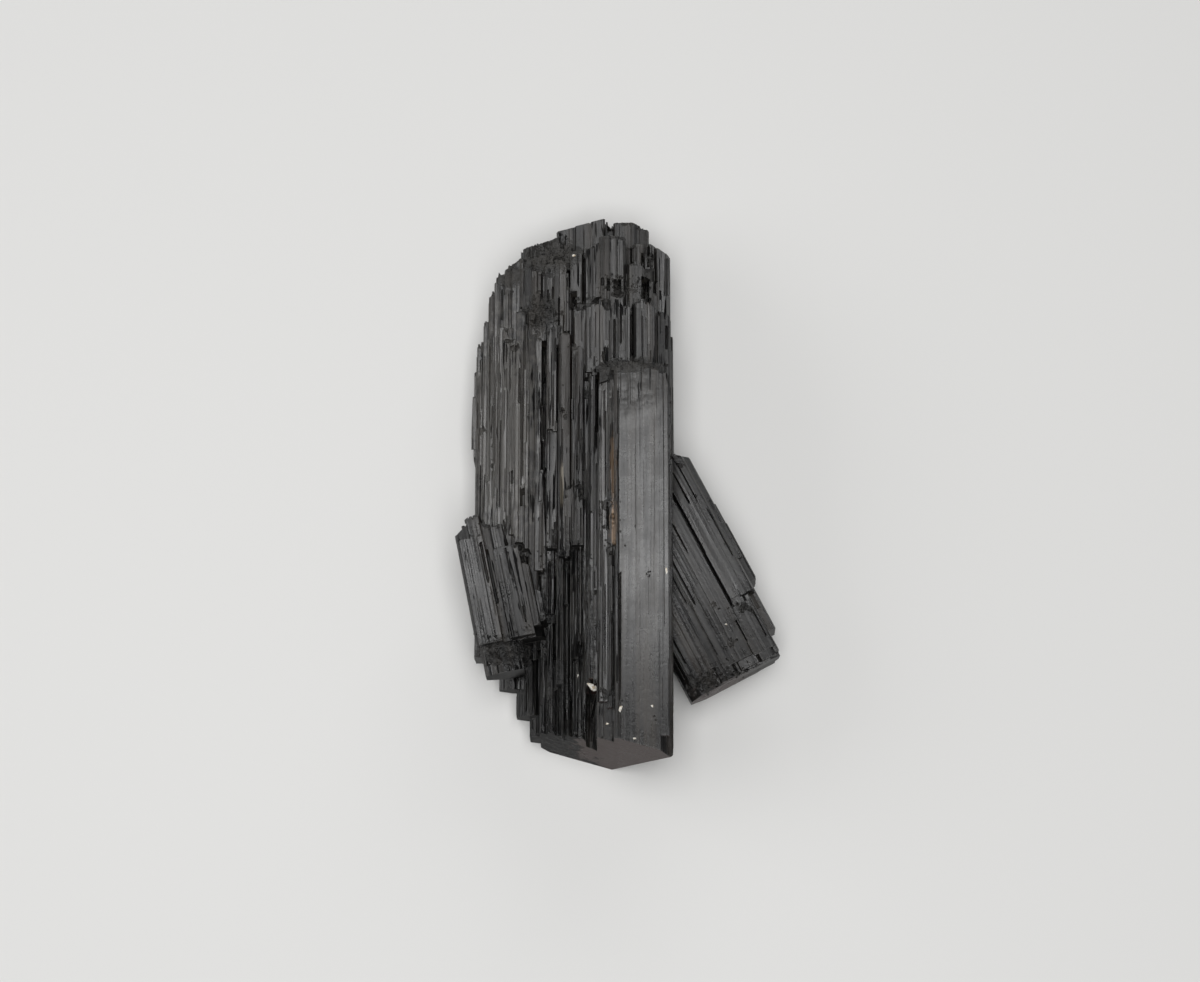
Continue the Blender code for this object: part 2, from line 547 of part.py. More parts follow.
def grow_left(specimen, rng):
    """The small crystal on the left: a stepped head, and a rough break at its foot."""
    growth, hollows = make_collection("left_columns"), make_collection("left_cutters")
    leaning = lean(LEFT_FOOT_PLACE, LEFT_LEAN)
    crystal = add_body("left_crystal", core_body(LEFT_CORES[0]), leaning, specimen)
    grow_cores("left_core", LEFT_CORES[1:], leaning, growth)
    grow_rows("left", LEFT_CRYSTAL, LEFT_ROOT, leaning, growth, rng)
    grow_fringes(LEFT_FRINGES, leaning, growth, rng)
    break_ends("left_end", LEFT_ENDS, LEFT_ROOT, -1, leaning, growth, rng)
    scatter_chips("left_chip", LEFT_RUBBLE, leaning, growth, rng)
    combine(crystal, "UNION", growth)
    cut_furrows("left_furrow", LEFT_FURROWS, leaning, hollows, rng)
    scatter_chips("left_pit", LEFT_PITS, leaning, hollows, rng)
    combine(crystal, "DIFFERENCE", hollows)
    return crystal


def grow_right(specimen, rng):
    """The crystal that leans out of the right flank."""
    growth, hollows = make_collection("right_columns"), make_collection("right_cutters")
    leaning = lean(RIGHT_FOOT_PLACE, RIGHT_LEAN)
    crystal = add_body("right_crystal", core_body(RIGHT_CORES[0]), leaning, specimen)
    grow_cores("right_core", RIGHT_CORES[1:], leaning, growth)
    grow_rows("right", RIGHT_CRYSTAL, RIGHT_ROOT, leaning, growth, rng)
    grow_fringes(RIGHT_FRINGES, leaning, growth, rng)
    combine(crystal, "UNION", growth)
    cut_furrows("right_furrow", RIGHT_FURROWS, leaning, hollows, rng)
    scatter_chips("right_pit", RIGHT_PITS, leaning, hollows, rng)
    combine(crystal, "DIFFERENCE", hollows)
    return crystal


def bodies_of(bm):
    """The points of each connected body of a mesh."""
    waiting, bodies = set(bm.verts), []
    while waiting:
        front = [waiting.pop()]
        body = list(front)
        while front:
            point = front.pop()
            near = {edge.other_vert(point) for edge in point.link_edges} & waiting
            waiting -= near
            front.extend(near)
            body.extend(near)
        bodies.append(body)
    return bodies


def settle(crystal):
    """Apply the joins and cuts, and keep the one solid that they leave."""
    bpy.context.view_layer.update()
    shaped = crystal.evaluated_get(bpy.context.evaluated_depsgraph_get())
    mesh = bpy.data.meshes.new_from_object(shaped)
    mesh.name = NAME
    bm = bmesh.new()
    bm.from_mesh(mesh)
    for body in sorted(bodies_of(bm), key=len)[:-1]:
        bmesh.ops.delete(bm, geom=body, context="VERTS")
    bm.to_mesh(mesh)
    bm.free()
    crystal.modifiers.clear()
    crystal.data = mesh


def make_collection(name):
    """A new collection in the scene."""
    collection = bpy.data.collections.new(name)
    bpy.context.scene.collection.children.link(collection)
    return collection


def main():
    """Clear the scene and grow the specimen."""
    for item in list(bpy.data.objects):
        bpy.data.objects.remove(item, do_unlink=True)
    rng = random.Random(SEED)
    specimen = make_collection("tourmaline_crystal")
    side_crystals = make_collection("side_crystals")
    base_cutter = make_collection("base_cutter")

    crystal = grow_main(specimen, rng)
    crystal.data.materials.append(tourmaline_material())
    grow_left(side_crystals, rng)
    grow_right(side_crystals, rng)
    combine(crystal, "UNION", side_crystals)
    slice_beyond("rest_plane", REST_PLANE, Matrix.Identity(4), base_cutter)
    combine(crystal, "DIFFERENCE", base_cutter)
    settle(crystal)
    for helper in bpy.data.objects:
        if helper != crystal:
            helper.hide_render = True
            helper.display_type = "WIRE"


main()
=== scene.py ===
"""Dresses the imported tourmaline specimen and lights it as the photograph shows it.

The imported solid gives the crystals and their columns. This script grows what is finer than
that on a copy of it: laths, striations, chipped edges, ragged column ends, pits and broken
ground. It then adds the pale mineral grains, the materials, a plain studio and the camera.

Lengths are in millimetres in the specimen's own frame: X across, Y along the main crystal
to its head, Z away from the surface it lies on. Finished meshes are in metres.
"""

import logging
import math
import random
from dataclasses import dataclass, field
from enum import Enum
from typing import Iterator, Optional, Sequence, Union

import bmesh
import bpy
import numpy as np
from mathutils import Matrix, Vector
from mathutils.bvhtree import BVHTree


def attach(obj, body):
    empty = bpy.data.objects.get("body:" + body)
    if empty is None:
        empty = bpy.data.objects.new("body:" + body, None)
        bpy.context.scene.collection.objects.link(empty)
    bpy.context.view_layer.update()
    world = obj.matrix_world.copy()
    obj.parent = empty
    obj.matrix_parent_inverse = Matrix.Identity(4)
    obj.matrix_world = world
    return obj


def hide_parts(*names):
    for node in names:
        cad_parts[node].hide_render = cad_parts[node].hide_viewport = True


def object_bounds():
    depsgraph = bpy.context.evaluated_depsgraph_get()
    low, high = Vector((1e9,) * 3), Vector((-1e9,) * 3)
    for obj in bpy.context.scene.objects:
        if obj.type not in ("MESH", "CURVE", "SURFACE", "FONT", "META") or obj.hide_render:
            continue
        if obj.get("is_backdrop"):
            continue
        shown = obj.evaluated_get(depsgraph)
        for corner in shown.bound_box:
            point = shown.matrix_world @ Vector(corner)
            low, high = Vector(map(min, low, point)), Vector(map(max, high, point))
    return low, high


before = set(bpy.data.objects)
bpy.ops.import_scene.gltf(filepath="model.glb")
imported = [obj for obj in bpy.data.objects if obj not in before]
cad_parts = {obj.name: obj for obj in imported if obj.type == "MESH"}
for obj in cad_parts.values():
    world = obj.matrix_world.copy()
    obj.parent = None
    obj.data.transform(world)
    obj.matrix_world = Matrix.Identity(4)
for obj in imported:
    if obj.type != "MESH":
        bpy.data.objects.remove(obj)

LOG = logging.getLogger("specimen")
NODE = "tourmaline"
BODY = "root"
MM = 0.001

# The base's middle, measured across and up from the main crystal's middle.
BASE_MIDDLE = Vector((2.2, 1.2, 0.0))

# The photograph's frame and the camera that looks down on the specimen.
FRAME_PIXELS = (1200, 982)
AIM_PIXEL = (600.0, 491.0)
AIM_POINT = Vector((0.0, 0.0, 9.0))
CAMERA_TILT = math.radians(12.0)
CAMERA_DISTANCE = 300.0
CAMERA_LENS = 72.0
PIXELS_PER_MM = 8.15
SENSOR = 36.0

Pair = tuple[float, float]
Triple = tuple[float, float, float]
Found = Optional[tuple[Vector, Vector]]
Feed = Union[float, tuple, bpy.types.NodeSocket]
GroupParts = tuple[bpy.types.NodeTree, "Nodes", bpy.types.Node, bpy.types.Node]


class Joining(Enum):
    """How a set of placed shapes meets the body."""

    ADD = "UNION"
    CUT = "DIFFERENCE"


@dataclass(frozen=True)
class Crystal:
    """One crystal's own directions.

    Args:
        name: what the crystal is called, used to look up its frame.
        foot: middle of the foot, across and up.
        lean: lean of the axis to the left, in degrees.
        clear: how far up its axis its columns begin to end in steps.
        sway: how much its facets lean out of their ideal planes, across and along.
        bow: how much all its facets lean along the axis.
    """

    name: str
    foot: Pair
    lean: float
    clear: float
    sway: Pair
    bow: float = 0.0

    @property
    def frame(self) -> Matrix:
        """Placing of the crystal's own frame."""
        turn = Matrix.Rotation(math.radians(self.lean), 4, "Z")
        return Matrix.Translation((*self.foot, 0.0)) @ turn

    @property
    def axis(self) -> Vector:
        """Direction of the crystal's axis."""
        lean = math.radians(self.lean)
        return Vector((-math.sin(lean), math.cos(lean), 0.0))


MAIN = Crystal("main", (0.0, 0.0), 0.0, -28.0, (0.06, 0.045), -0.03)
LEFT = Crystal("left", (-12.2, -21.1), 11.5, 2.0, (0.05, 0.04))
RIGHT = Crystal("right", (16.3, -23.3), 27.5, 3.0, (0.03, 0.02), 0.06)
CRYSTALS = (MAIN, LEFT, RIGHT)

# Where the side crystals begin: the small one stands proud of the main crystal's flank, the
# other one starts beside it.
LEFT_BOX = ((-2.9, 6.4), (-3.4, 17.7))
LEFT_LEVEL = 12.35
RIGHT_START = 8.86
RIGHT_REACH = 27.6
FLANK_LEAN = 0.2
ALONG_LIMIT = 0.02
LEAN_LIMIT = 0.06
END_LIMIT = 0.93

# Facets are told apart by their level and by their normal, each in steps. The main crystal's
# columns low on the left stand turned, and the feet are slightly domed. The narrow facet right
# of the broad face turns towards it, and the broad face itself leans a little.
FACET_STEP = 0.045
NORMAL_STEPS = 12
TURNED_SWAY = (0.26, 0.06)
TURNED_BOX = ((-11.0, -0.7), (-40.0, -3.0))
FOOT_DOME = 0.3
SHOULDER_BOX = ((7.2, 8.8), (-36.0, 14.0))
SHOULDER_DOME = Vector((-0.7, 0.0, 0.35))
BROAD_LEVEL = 16.7
BROAD_TILT = Vector((-0.05, -0.02, 0.0))


def owner(spot: Vector, normal: Vector) -> Crystal:
    """Tell which crystal a piece of surface belongs to.

    Args:
        spot: a point of the surface.
        normal: the surface's direction there.

    Returns:
        The crystal.
    """
    if spot.x > RIGHT_START:
        flank = abs(normal.y) < ALONG_LIMIT and abs(normal.dot(RIGHT.axis)) > FLANK_LEAN
        above = (RIGHT.frame.inverted() @ spot).y > RIGHT_REACH
        return MAIN if flank or above else RIGHT
    own = LEFT.frame.inverted() @ spot
    (across_low, across_high), (along_low, along_high) = LEFT_BOX
    if across_low < own.x < across_high and along_low < own.y < along_high:
        turned = abs(normal.dot(LEFT.axis)) < ALONG_LIMIT and abs(normal.y) > LEAN_LIMIT
        if spot.z > LEFT_LEVEL or turned:
            return LEFT
    return MAIN


class Surface:
    """A body's surface, for casting rays and following faces along a crystal's axis."""

    STEP = 0.3
    GAP = 0.15
    SLACK = 0.03
    FAR = 400.0

    def __init__(self, mesh: bpy.types.Mesh) -> None:
        """Build the search tree.

        Args:
            mesh: the body's mesh.
        """
        points = [vert.co for vert in mesh.vertices]
        faces = [poly.vertices[:] for poly in mesh.polygons]
        self.tree = BVHTree.FromPolygons(points, faces)

    def hit(self, origin: Vector, direction: Vector) -> Found:
        """Cast a ray. Returns the place and the normal, or None."""
        spot, normal, _, _ = self.tree.ray_cast(origin, direction, self.FAR)
        return None if spot is None else (spot, normal)

    def reach(self, spot: Vector, normal: Vector, axis: Vector, limit: float) -> float:
        """Follow a wall face along an axis.

        Args:
            spot: where to start.
            normal: the face's direction.
            axis: which way to go.
            limit: how far to look.

        Returns:
            How far the face goes on.
        """
        done = 0.0
        while done < limit:
            above = spot + axis * (done + self.STEP) + normal * self.GAP
            _, _, _, depth = self.tree.ray_cast(above, -normal, 3 * self.GAP)
            if depth is None or abs(depth - self.GAP) > self.SLACK:
                break
            done += self.STEP
        return done

    def drops(self, spot: Vector, normal: Vector) -> bool:
        """Tell whether there is only air at a spot, so that a face ended before it."""
        inside = self.tree.ray_cast(spot + normal * self.GAP, -normal, 4 * self.GAP)
        return inside[0] is None


@dataclass
class Placements:
    """Places, turns and sizes of the instances of one set of shapes."""

    places: list[Vector] = field(default_factory=list)
    turns: list[Vector] = field(default_factory=list)
    sizes: list[Triple] = field(default_factory=list)

    def add(self, place: Vector, turn: Matrix, size: Sequence[float]) -> None:
        """Add one instance.

        Args:
            place: where it goes.
            turn: how it is turned.
            size: its size across, along and out.
        """
        self.places.append(place)
        self.turns.append(Vector(turn.to_euler("XYZ")))
        self.sizes.append(tuple(size))

    def mesh_object(self, name: str) -> bpy.types.Object:
        """Build the points object that the carving tree reads.

        Args:
            name: the object's name.

        Returns:
            The points.
        """
        mesh = bpy.data.meshes.new(name)
        mesh.from_pydata([tuple(place) for place in self.places], [], [])
        for key, values in (("turn", self.turns), ("size", self.sizes)):
            layer = mesh.attributes.new(key, "FLOAT_VECTOR", "POINT")
            layer.data.foreach_set("vector", np.array(values, np.float32).ravel())
        return bpy.data.objects.new(name, mesh)


def along_surface(axis: Vector, normal: Vector) -> Matrix:
    """Turn that lays a shape's Y along the axis and its Z along the normal.

    Args:
        axis: direction along the crystal.
        normal: direction out of the surface.

    Returns:
        The turn.
    """
    out = (normal - axis * normal.dot(axis)).normalized()
    side = axis.cross(out)
    return Matrix((side, axis, out)).transposed()


def tumbled(rng: random.Random) -> Matrix:
    """A random turn.

    Args:
        rng: source of randomness.

    Returns:
        The turn.
    """
    angles = [rng.uniform(0.0, math.tau) for _ in range(3)]
    return Matrix.Rotation(angles[0], 3, "X") @ Matrix.Rotation(angles[1], 3, "Y") \
        @ Matrix.Rotation(angles[2], 3, "Z")


def section_shape(name: str, section: Sequence[Pair], ends: Sequence[tuple]) -> bpy.types.Object:
    """A prism along Y whose section changes along it.

    Args:
        name: the shape's name.
        section: corners of the section, across and out.
        ends: for each ring: place along Y, width share, lowest level and slope across.

    Returns:
        The prism.
    """
    bm = bmesh.new()
    rings = []
    for along, width, lowest, slope in ends:
        ring = [bm.verts.new((x * width, along + slope * x, max(z, lowest))) for x, z in section]
        rings.append(ring)
    count = len(section)
    for first, second in zip(rings, rings[1:]):
        for index in range(count):
            after = (index + 1) % count
            bm.faces.new((first[index], first[after], second[after], second[index]))
    bm.faces.new(rings[0][::-1])
    bm.faces.new(rings[-1])
    bmesh.ops.recalc_face_normals(bm, faces=bm.faces)
    mesh = bpy.data.meshes.new(name)
    bm.to_mesh(mesh)
    bm.free()
    return bpy.data.objects.new(name, mesh)


def stone_hull(corners: int, rng: random.Random) -> bmesh.types.BMesh:
    """The hull of random corners, about one millimetre across.

    Args:
        corners: how many corners are drawn.
        rng: source of randomness.

    Returns:
        The hull.
    """
    bm = bmesh.new()
    for _ in range(corners):
        direction = Vector([rng.gauss(0.0, 1.0) for _ in range(3)]).normalized()
        bm.verts.new(direction * rng.uniform(0.42, 0.58))
    bmesh.ops.convex_hull(bm, input=bm.verts)
    loose = [vert for vert in bm.verts if not vert.link_faces]
    bmesh.ops.delete(bm, geom=loose, context="VERTS")
    return bm


def stone_shape(name: str, corners: int, rng: random.Random) -> bpy.types.Object:
    """An angular stone.

    Args:
        name: the shape's name.
        corners: how many corners are drawn.
        rng: source of randomness.

    Returns:
        The stone.
    """
    bm = stone_hull(corners, rng)
    bmesh.ops.recalc_face_normals(bm, faces=bm.faces)
    mesh = bpy.data.meshes.new(name)
    bm.to_mesh(mesh)
    bm.free()
    return bpy.data.objects.new(name, mesh)


class ShapeShelf:
    """The small shapes that are set on the surface, one collection for each kind."""

    GROOVE = ((-0.62, 1.0), (0.62, 1.0), (0.5, 0.0), (0.05, -1.0), (-0.09, -1.0), (-0.5, 0.0))
    GROOVE_ENDS = (
        ((-1.0, 0.5, -0.1, 0.0), (-0.9, 1.0, -1.0, 0.02), (0.94, 1.0, -1.0, 0.0), (1.0, 0.6, -0.2, 0.0)),
        ((-1.0, 0.9, -1.0, 0.04), (0.86, 1.0, -1.0, -0.02), (1.0, 0.4, -0.1, -0.02)),
        ((-1.0, 0.4, -0.1, 0.0), (-0.8, 0.9, -0.8, 0.0), (1.0, 1.0, -1.0, 0.05)),
    )
    LATH = ((-0.5, -1.0), (0.5, -1.0), (0.5, 0.45), (0.3, 1.0), (-0.34, 1.0), (-0.5, 0.6))
    LATH_ENDS = (
        ((-1.0, 1.0, -1.0, 0.05), (1.0, 1.0, -1.0, 0.06)),
        ((-1.0, 0.8, -1.0, -0.04), (0.97, 1.0, -1.0, -0.05), (1.0, 0.8, -1.0, -0.05)),
        ((-1.0, 1.0, -1.0, 0.02), (-0.2, 1.0, -1.0, 0.0), (1.0, 0.75, -1.0, 0.03)),
    )
    SLAB = ((-1.0, -1.0), (1.0, -1.0), (1.0, 1.0), (-1.0, 1.0))
    SLAB_ENDS = ((-1.0, 1.0, -1.0, 0.0), (1.0, 1.0, -1.0, 0.0))
    STONES = 7
    STONE_CORNERS = 11

    def __init__(self, rng: random.Random) -> None:
        """Make the shapes.

        Args:
            rng: source of randomness.
        """
        self.grooves = self.shelve("groove_shapes", (
            section_shape(f"groove_{index}", self.GROOVE, ends)
            for index, ends in enumerate(self.GROOVE_ENDS)))
        self.laths = self.shelve("lath_shapes", (
            section_shape(f"lath_{index}", self.LATH, ends)
            for index, ends in enumerate(self.LATH_ENDS)))
        self.stones = self.shelve("stone_shapes", (
            stone_shape(f"stone_{index}", self.STONE_CORNERS, rng) for index in range(self.STONES)))
        self.slabs = self.shelve("slab_shapes", (section_shape("slab", self.SLAB, self.SLAB_ENDS),))

    @staticmethod
    def shelve(name: str, shapes: Iterator[bpy.types.Object]) -> bpy.types.Collection:
        """Put shapes in a collection that isn't part of the scene.

        Args:
            name: the collection's name.
            shapes: what goes in it.

        Returns:
            The collection.
        """
        collection = bpy.data.collections.new(name)
        for shape in shapes:
            collection.objects.link(shape)
        return collection


class Carver:
    """Sets instances of shapes on a body, and joins them to it or cuts them from it."""

    LAST_PICK = 97
    SCALE = 1.0

    def __init__(self, material: bpy.types.Material) -> None:
        """Keep the material that every worked body gets, and build the trees."""
        self.material = material
        self.trees = {joining: self.build_tree(joining) for joining in Joining}

    @staticmethod
    def build_tree(joining: Joining) -> bpy.types.NodeTree:
        """Build the geometry tree for one way of joining.

        Args:
            joining: join or cut.

        Returns:
            The tree.
        """
        tree = bpy.data.node_groups.new(f"Carve {joining.name.title()}", "GeometryNodeTree")
        sockets = (("Body", "NodeSocketGeometry"), ("Spots", "NodeSocketObject"),
                   ("Shapes", "NodeSocketCollection"), ("Seed", "NodeSocketInt"),
                   ("Scale", "NodeSocketFloat"), ("Material", "NodeSocketMaterial"))
        for label, kind in sockets:
            tree.interface.new_socket(label, in_out="INPUT", socket_type=kind)
        tree.interface.new_socket("Body", in_out="OUTPUT", socket_type="NodeSocketGeometry")
        nodes, link = tree.nodes, tree.links.new
        given = nodes.new("NodeGroupInput")
        result = nodes.new("NodeGroupOutput")
        spots = nodes.new("GeometryNodeObjectInfo")
        shapes = nodes.new("GeometryNodeCollectionInfo")
        shapes.inputs["Separate Children"].default_value = True
        shapes.inputs["Reset Children"].default_value = True
        turn, size = (nodes.new("GeometryNodeInputNamedAttribute") for _ in range(2))
        for reader, key in ((turn, "turn"), (size, "size")):
            reader.data_type = "FLOAT_VECTOR"
            reader.inputs["Name"].default_value = key
        rotation = nodes.new("FunctionNodeEulerToRotation")
        scaled = nodes.new("ShaderNodeVectorMath")
        scaled.operation = "SCALE"
        pick = nodes.new("FunctionNodeRandomValue")
        pick.data_type = "INT"
        low, high = (socket for socket in pick.inputs if socket.enabled and socket.name in ("Min", "Max"))
        low.default_value, high.default_value = 0, Carver.LAST_PICK
        placed = nodes.new("GeometryNodeInstanceOnPoints")
        placed.inputs["Pick Instance"].default_value = True
        joined = nodes.new("GeometryNodeMeshBoolean")
        joined.operation = joining.value
        joined.solver = "MANIFOLD"
        realized = nodes.new("GeometryNodeRealizeInstances")
        finish = nodes.new("GeometryNodeSetMaterial")

        link(given.outputs["Spots"], spots.inputs["Object"])
        link(given.outputs["Shapes"], shapes.inputs["Collection"])
        link(given.outputs["Seed"], pick.inputs["Seed"])
        link(given.outputs["Scale"], scaled.inputs["Scale"])
        link(given.outputs["Material"], finish.inputs["Material"])
        link(turn.outputs["Attribute"], rotation.inputs["Euler"])
        link(spots.outputs["Geometry"], placed.inputs["Points"])
        link(shapes.outputs["Instances"], placed.inputs["Instance"])
        chosen = next(socket for socket in pick.outputs if socket.enabled)
        link(chosen, placed.inputs["Instance Index"])
        link(rotation.outputs["Rotation"], placed.inputs["Rotation"])
        link(size.outputs["Attribute"], scaled.inputs[0])
        link(scaled.outputs["Vector"], placed.inputs["Scale"])
        first = joined.inputs["Mesh 2" if joining is Joining.ADD else "Mesh 1"]
        link(given.outputs["Body"], first)
        link(placed.outputs["Instances"], joined.inputs["Mesh 2"])
        link(joined.outputs["Mesh"], realized.inputs["Geometry"])
        link(realized.outputs["Geometry"], finish.inputs["Geometry"])
        link(finish.outputs["Geometry"], result.inputs["Body"])
        return tree

    def work(self, body: bpy.types.Object, joining: Joining, spots: Placements,
             shapes: bpy.types.Collection, seed: int) -> None:
        """Work one set of shapes into a body's mesh.

        Args:
            body: the object whose mesh is replaced by the result.
            joining: join or cut.
            spots: the instances.
            shapes: the shapes that they are made from.
            seed: picks the shape of each instance.
        """
        points = spots.mesh_object(f"spots_{joining.name.lower()}")
        tree = self.trees[joining]
        modifier = body.modifiers.new(tree.name, "NODES")
        modifier.node_group = tree
        values = {"Spots": points, "Shapes": shapes, "Seed": seed, "Scale": self.SCALE,
                  "Material": self.material}
        for item in tree.interface.items_tree:
            if item.in_out == "INPUT" and item.name in values:
                modifier[item.identifier] = values[item.name]
        before = body.data
        body.update_tag()
        evaluated = body.evaluated_get(bpy.context.evaluated_depsgraph_get())
        mesh = bpy.data.meshes.new_from_object(evaluated)
        body.modifiers.remove(modifier)
        body.data = mesh
        bpy.data.meshes.remove(before)
        bpy.data.objects.remove(points)
        LOG.info("%s %d %s: %d triangles", joining.name.lower(), len(spots.places), shapes.name,
                 len(mesh.loops) - 2 * len(mesh.polygons))


@dataclass(frozen=True)
class Field:
    """A stretch of surface, seen from one side of a crystal, and what is set on it.

    Args:
        crystal: whose surface it is.
        heading: side that it is seen from, as an angle about the axis from the front.
        across: span across, seen from that side.
        along: span along the axis.
        count: how many spots are tried.
        widths: range of widths.
        depths: range of depths or heights.
        lengths: range of lengths.
        whole: share that runs to the ends of its face.
    """

    crystal: Crystal
    heading: float
    across: Pair
    along: Pair
    count: int
    widths: Pair
    depths: Pair
    lengths: Pair
    whole: float = 0.3

    def spots(self, surface: Surface, rng: random.Random) -> Iterator[tuple[Vector, Vector]]:
        """Find places on the crystal's walls in this field.

        Args:
            surface: the body's surface.
            rng: source of randomness.

        Yields:
            Each place and the wall's normal there.
        """
        heading = math.radians(self.heading)
        to_world = self.crystal.frame
        turn = to_world.to_3x3()
        out = turn @ Vector((math.sin(heading), 0.0, math.cos(heading)))
        side = turn @ Vector((math.cos(heading), 0.0, -math.sin(heading)))
        for _ in range(self.count):
            start = to_world @ Vector((0.0, rng.uniform(*self.along), 0.0))
            start += side * rng.uniform(*self.across) + out * 60.0
            found = surface.hit(start, -out)
            if found is None:
                continue
            spot, normal = found
            if normal.dot(out) < 0.3 or abs(normal.dot(self.crystal.axis)) > ALONG_LIMIT:
                continue
            if owner(spot, normal) is self.crystal:
                yield spot, normal


def skewed(rng: random.Random, span: Pair, power: float = 2.0) -> float:
    """A random value in a range that is more often small."""
    low, high = span
    return low + (high - low) * rng.random() ** power


# The shortest strip that is laid, and how far a column's face is followed to its end.
SHORTEST_STRIP = 1.2
END_SEARCH = 14.0


def lay_strips(fields: Sequence[Field], surface: Surface, rng: random.Random,
               margin: float) -> Placements:
    """Lay grooves or laths along the faces of some fields.

    Args:
        fields: where they go, and their sizes.
        surface: the body's surface.
        rng: source of randomness.
        margin: how far a whole-face strip passes the face's ends.

    Returns:
        The strips.
    """
    strips = Placements()
    for place in fields:
        axis = place.crystal.axis
        for spot, normal in place.spots(surface, rng):
            limit = rng.uniform(*place.lengths)
            ahead = surface.reach(spot, normal, axis, limit)
            behind = surface.reach(spot, normal, -axis, limit)
            if ahead + behind < SHORTEST_STRIP:
                continue
            if rng.random() < place.whole:
                ahead, behind = ahead + margin, behind + margin
            else:
                ahead *= rng.uniform(0.3, 0.95)
                behind *= rng.uniform(0.3, 0.95)
            middle = spot + axis * (ahead - behind) / 2
            width = skewed(rng, place.widths)
            depth = skewed(rng, place.depths, 1.5)
            strips.add(middle, along_surface(axis, normal), (width, (ahead + behind) / 2, depth))
    return strips


def ragged_ends(fields: Sequence[Field], surface: Surface, rng: random.Random,
                past: Pair, thick: float) -> tuple[Placements, Placements]:
    """Find where column faces end in the air, and make those ends ragged.

    Args:
        fields: where to look.
        surface: the body's surface.
        rng: source of randomness.
        past: how far a spur passes the end that it grows on.
        thick: how thick a spur is.

    Returns:
        Spurs to join to the body, and notches to cut from it.
    """
    spurs, notches = Placements(), Placements()
    for place in fields:
        for spot, normal in place.spots(surface, rng):
            way = rng.choice((1.0, 1.0, -1.0))
            axis = place.crystal.axis * way
            run = surface.reach(spot, normal, axis, END_SEARCH)
            end = spot + axis * (run + Surface.STEP)
            if run >= END_SEARCH - 0.2 or not surface.drops(end + axis * 0.1, normal):
                continue
            edge = spot + axis * (run + 0.5 * Surface.STEP)
            if (place.crystal.frame.inverted() @ edge).y < place.crystal.clear:
                continue
            width = skewed(rng, place.widths)
            length = rng.uniform(*place.lengths)
            if rng.random() < 0.5:
                over = rng.uniform(*past)
                middle = edge + axis * (over - length / 2) + normal * rng.uniform(-0.16, 0.06)
                turn = along_surface(place.crystal.axis, normal)
                spurs.add(middle - normal * thick, turn, (width, length / 2, thick))
            else:
                tilt = Matrix.Rotation(rng.uniform(-0.3, 0.3), 3, "Y")
                turn = along_surface(axis, normal) @ tilt
                size = (width, rng.uniform(0.3, 1.1), rng.uniform(0.3, 1.0))
                notches.add(edge + normal * 0.1, turn, size)
    return spurs, notches


@dataclass(frozen=True)
class Patch:
    """Broken or pitted ground, as an ellipse seen from the front.

    Args:
        middle: middle of the patch, across and up.
        spread: half its size across and along.
        count: how many stones or pits.
        sizes: range of their sizes.
        sunk: how far a stone's middle lies under the surface, as a share of its size.
        levels: levels that the ground lies between.
        turn: turn of the ellipse, in degrees.
    """

    middle: Pair
    spread: Pair
    count: int
    sizes: Pair
    sunk: float = 0.1
    levels: Pair = (-5.0, 30.0)
    turn: float = 0.0

    STRETCH = ((0.7, 1.0), (0.8, 1.5), (0.6, 1.0))

    def place(self, surface: Surface, rng: random.Random, into: Placements) -> None:
        """Set the patch's stones on the surface, seen from the front.

        Args:
            surface: the body's surface.
            rng: source of randomness.
            into: takes the stones.
        """
        turn = Matrix.Rotation(math.radians(self.turn), 2)
        for _ in range(self.count):
            away = Vector((rng.gauss(0.0, 0.45) * self.spread[0], rng.gauss(0.0, 0.45) * self.spread[1]))
            away = turn @ away
            start = Vector((self.middle[0] + away.x, self.middle[1] + away.y, 60.0))
            found = surface.hit(start, Vector((0.0, 0.0, -1.0)))
            if found is None or not self.levels[0] < found[0].z < self.levels[1]:
                continue
            spot, normal = found
            size = skewed(rng, self.sizes)
            stretch = [size * rng.uniform(*span) for span in self.STRETCH]
            into.add(spot - normal * self.sunk * size, tumbled(rng), stretch)


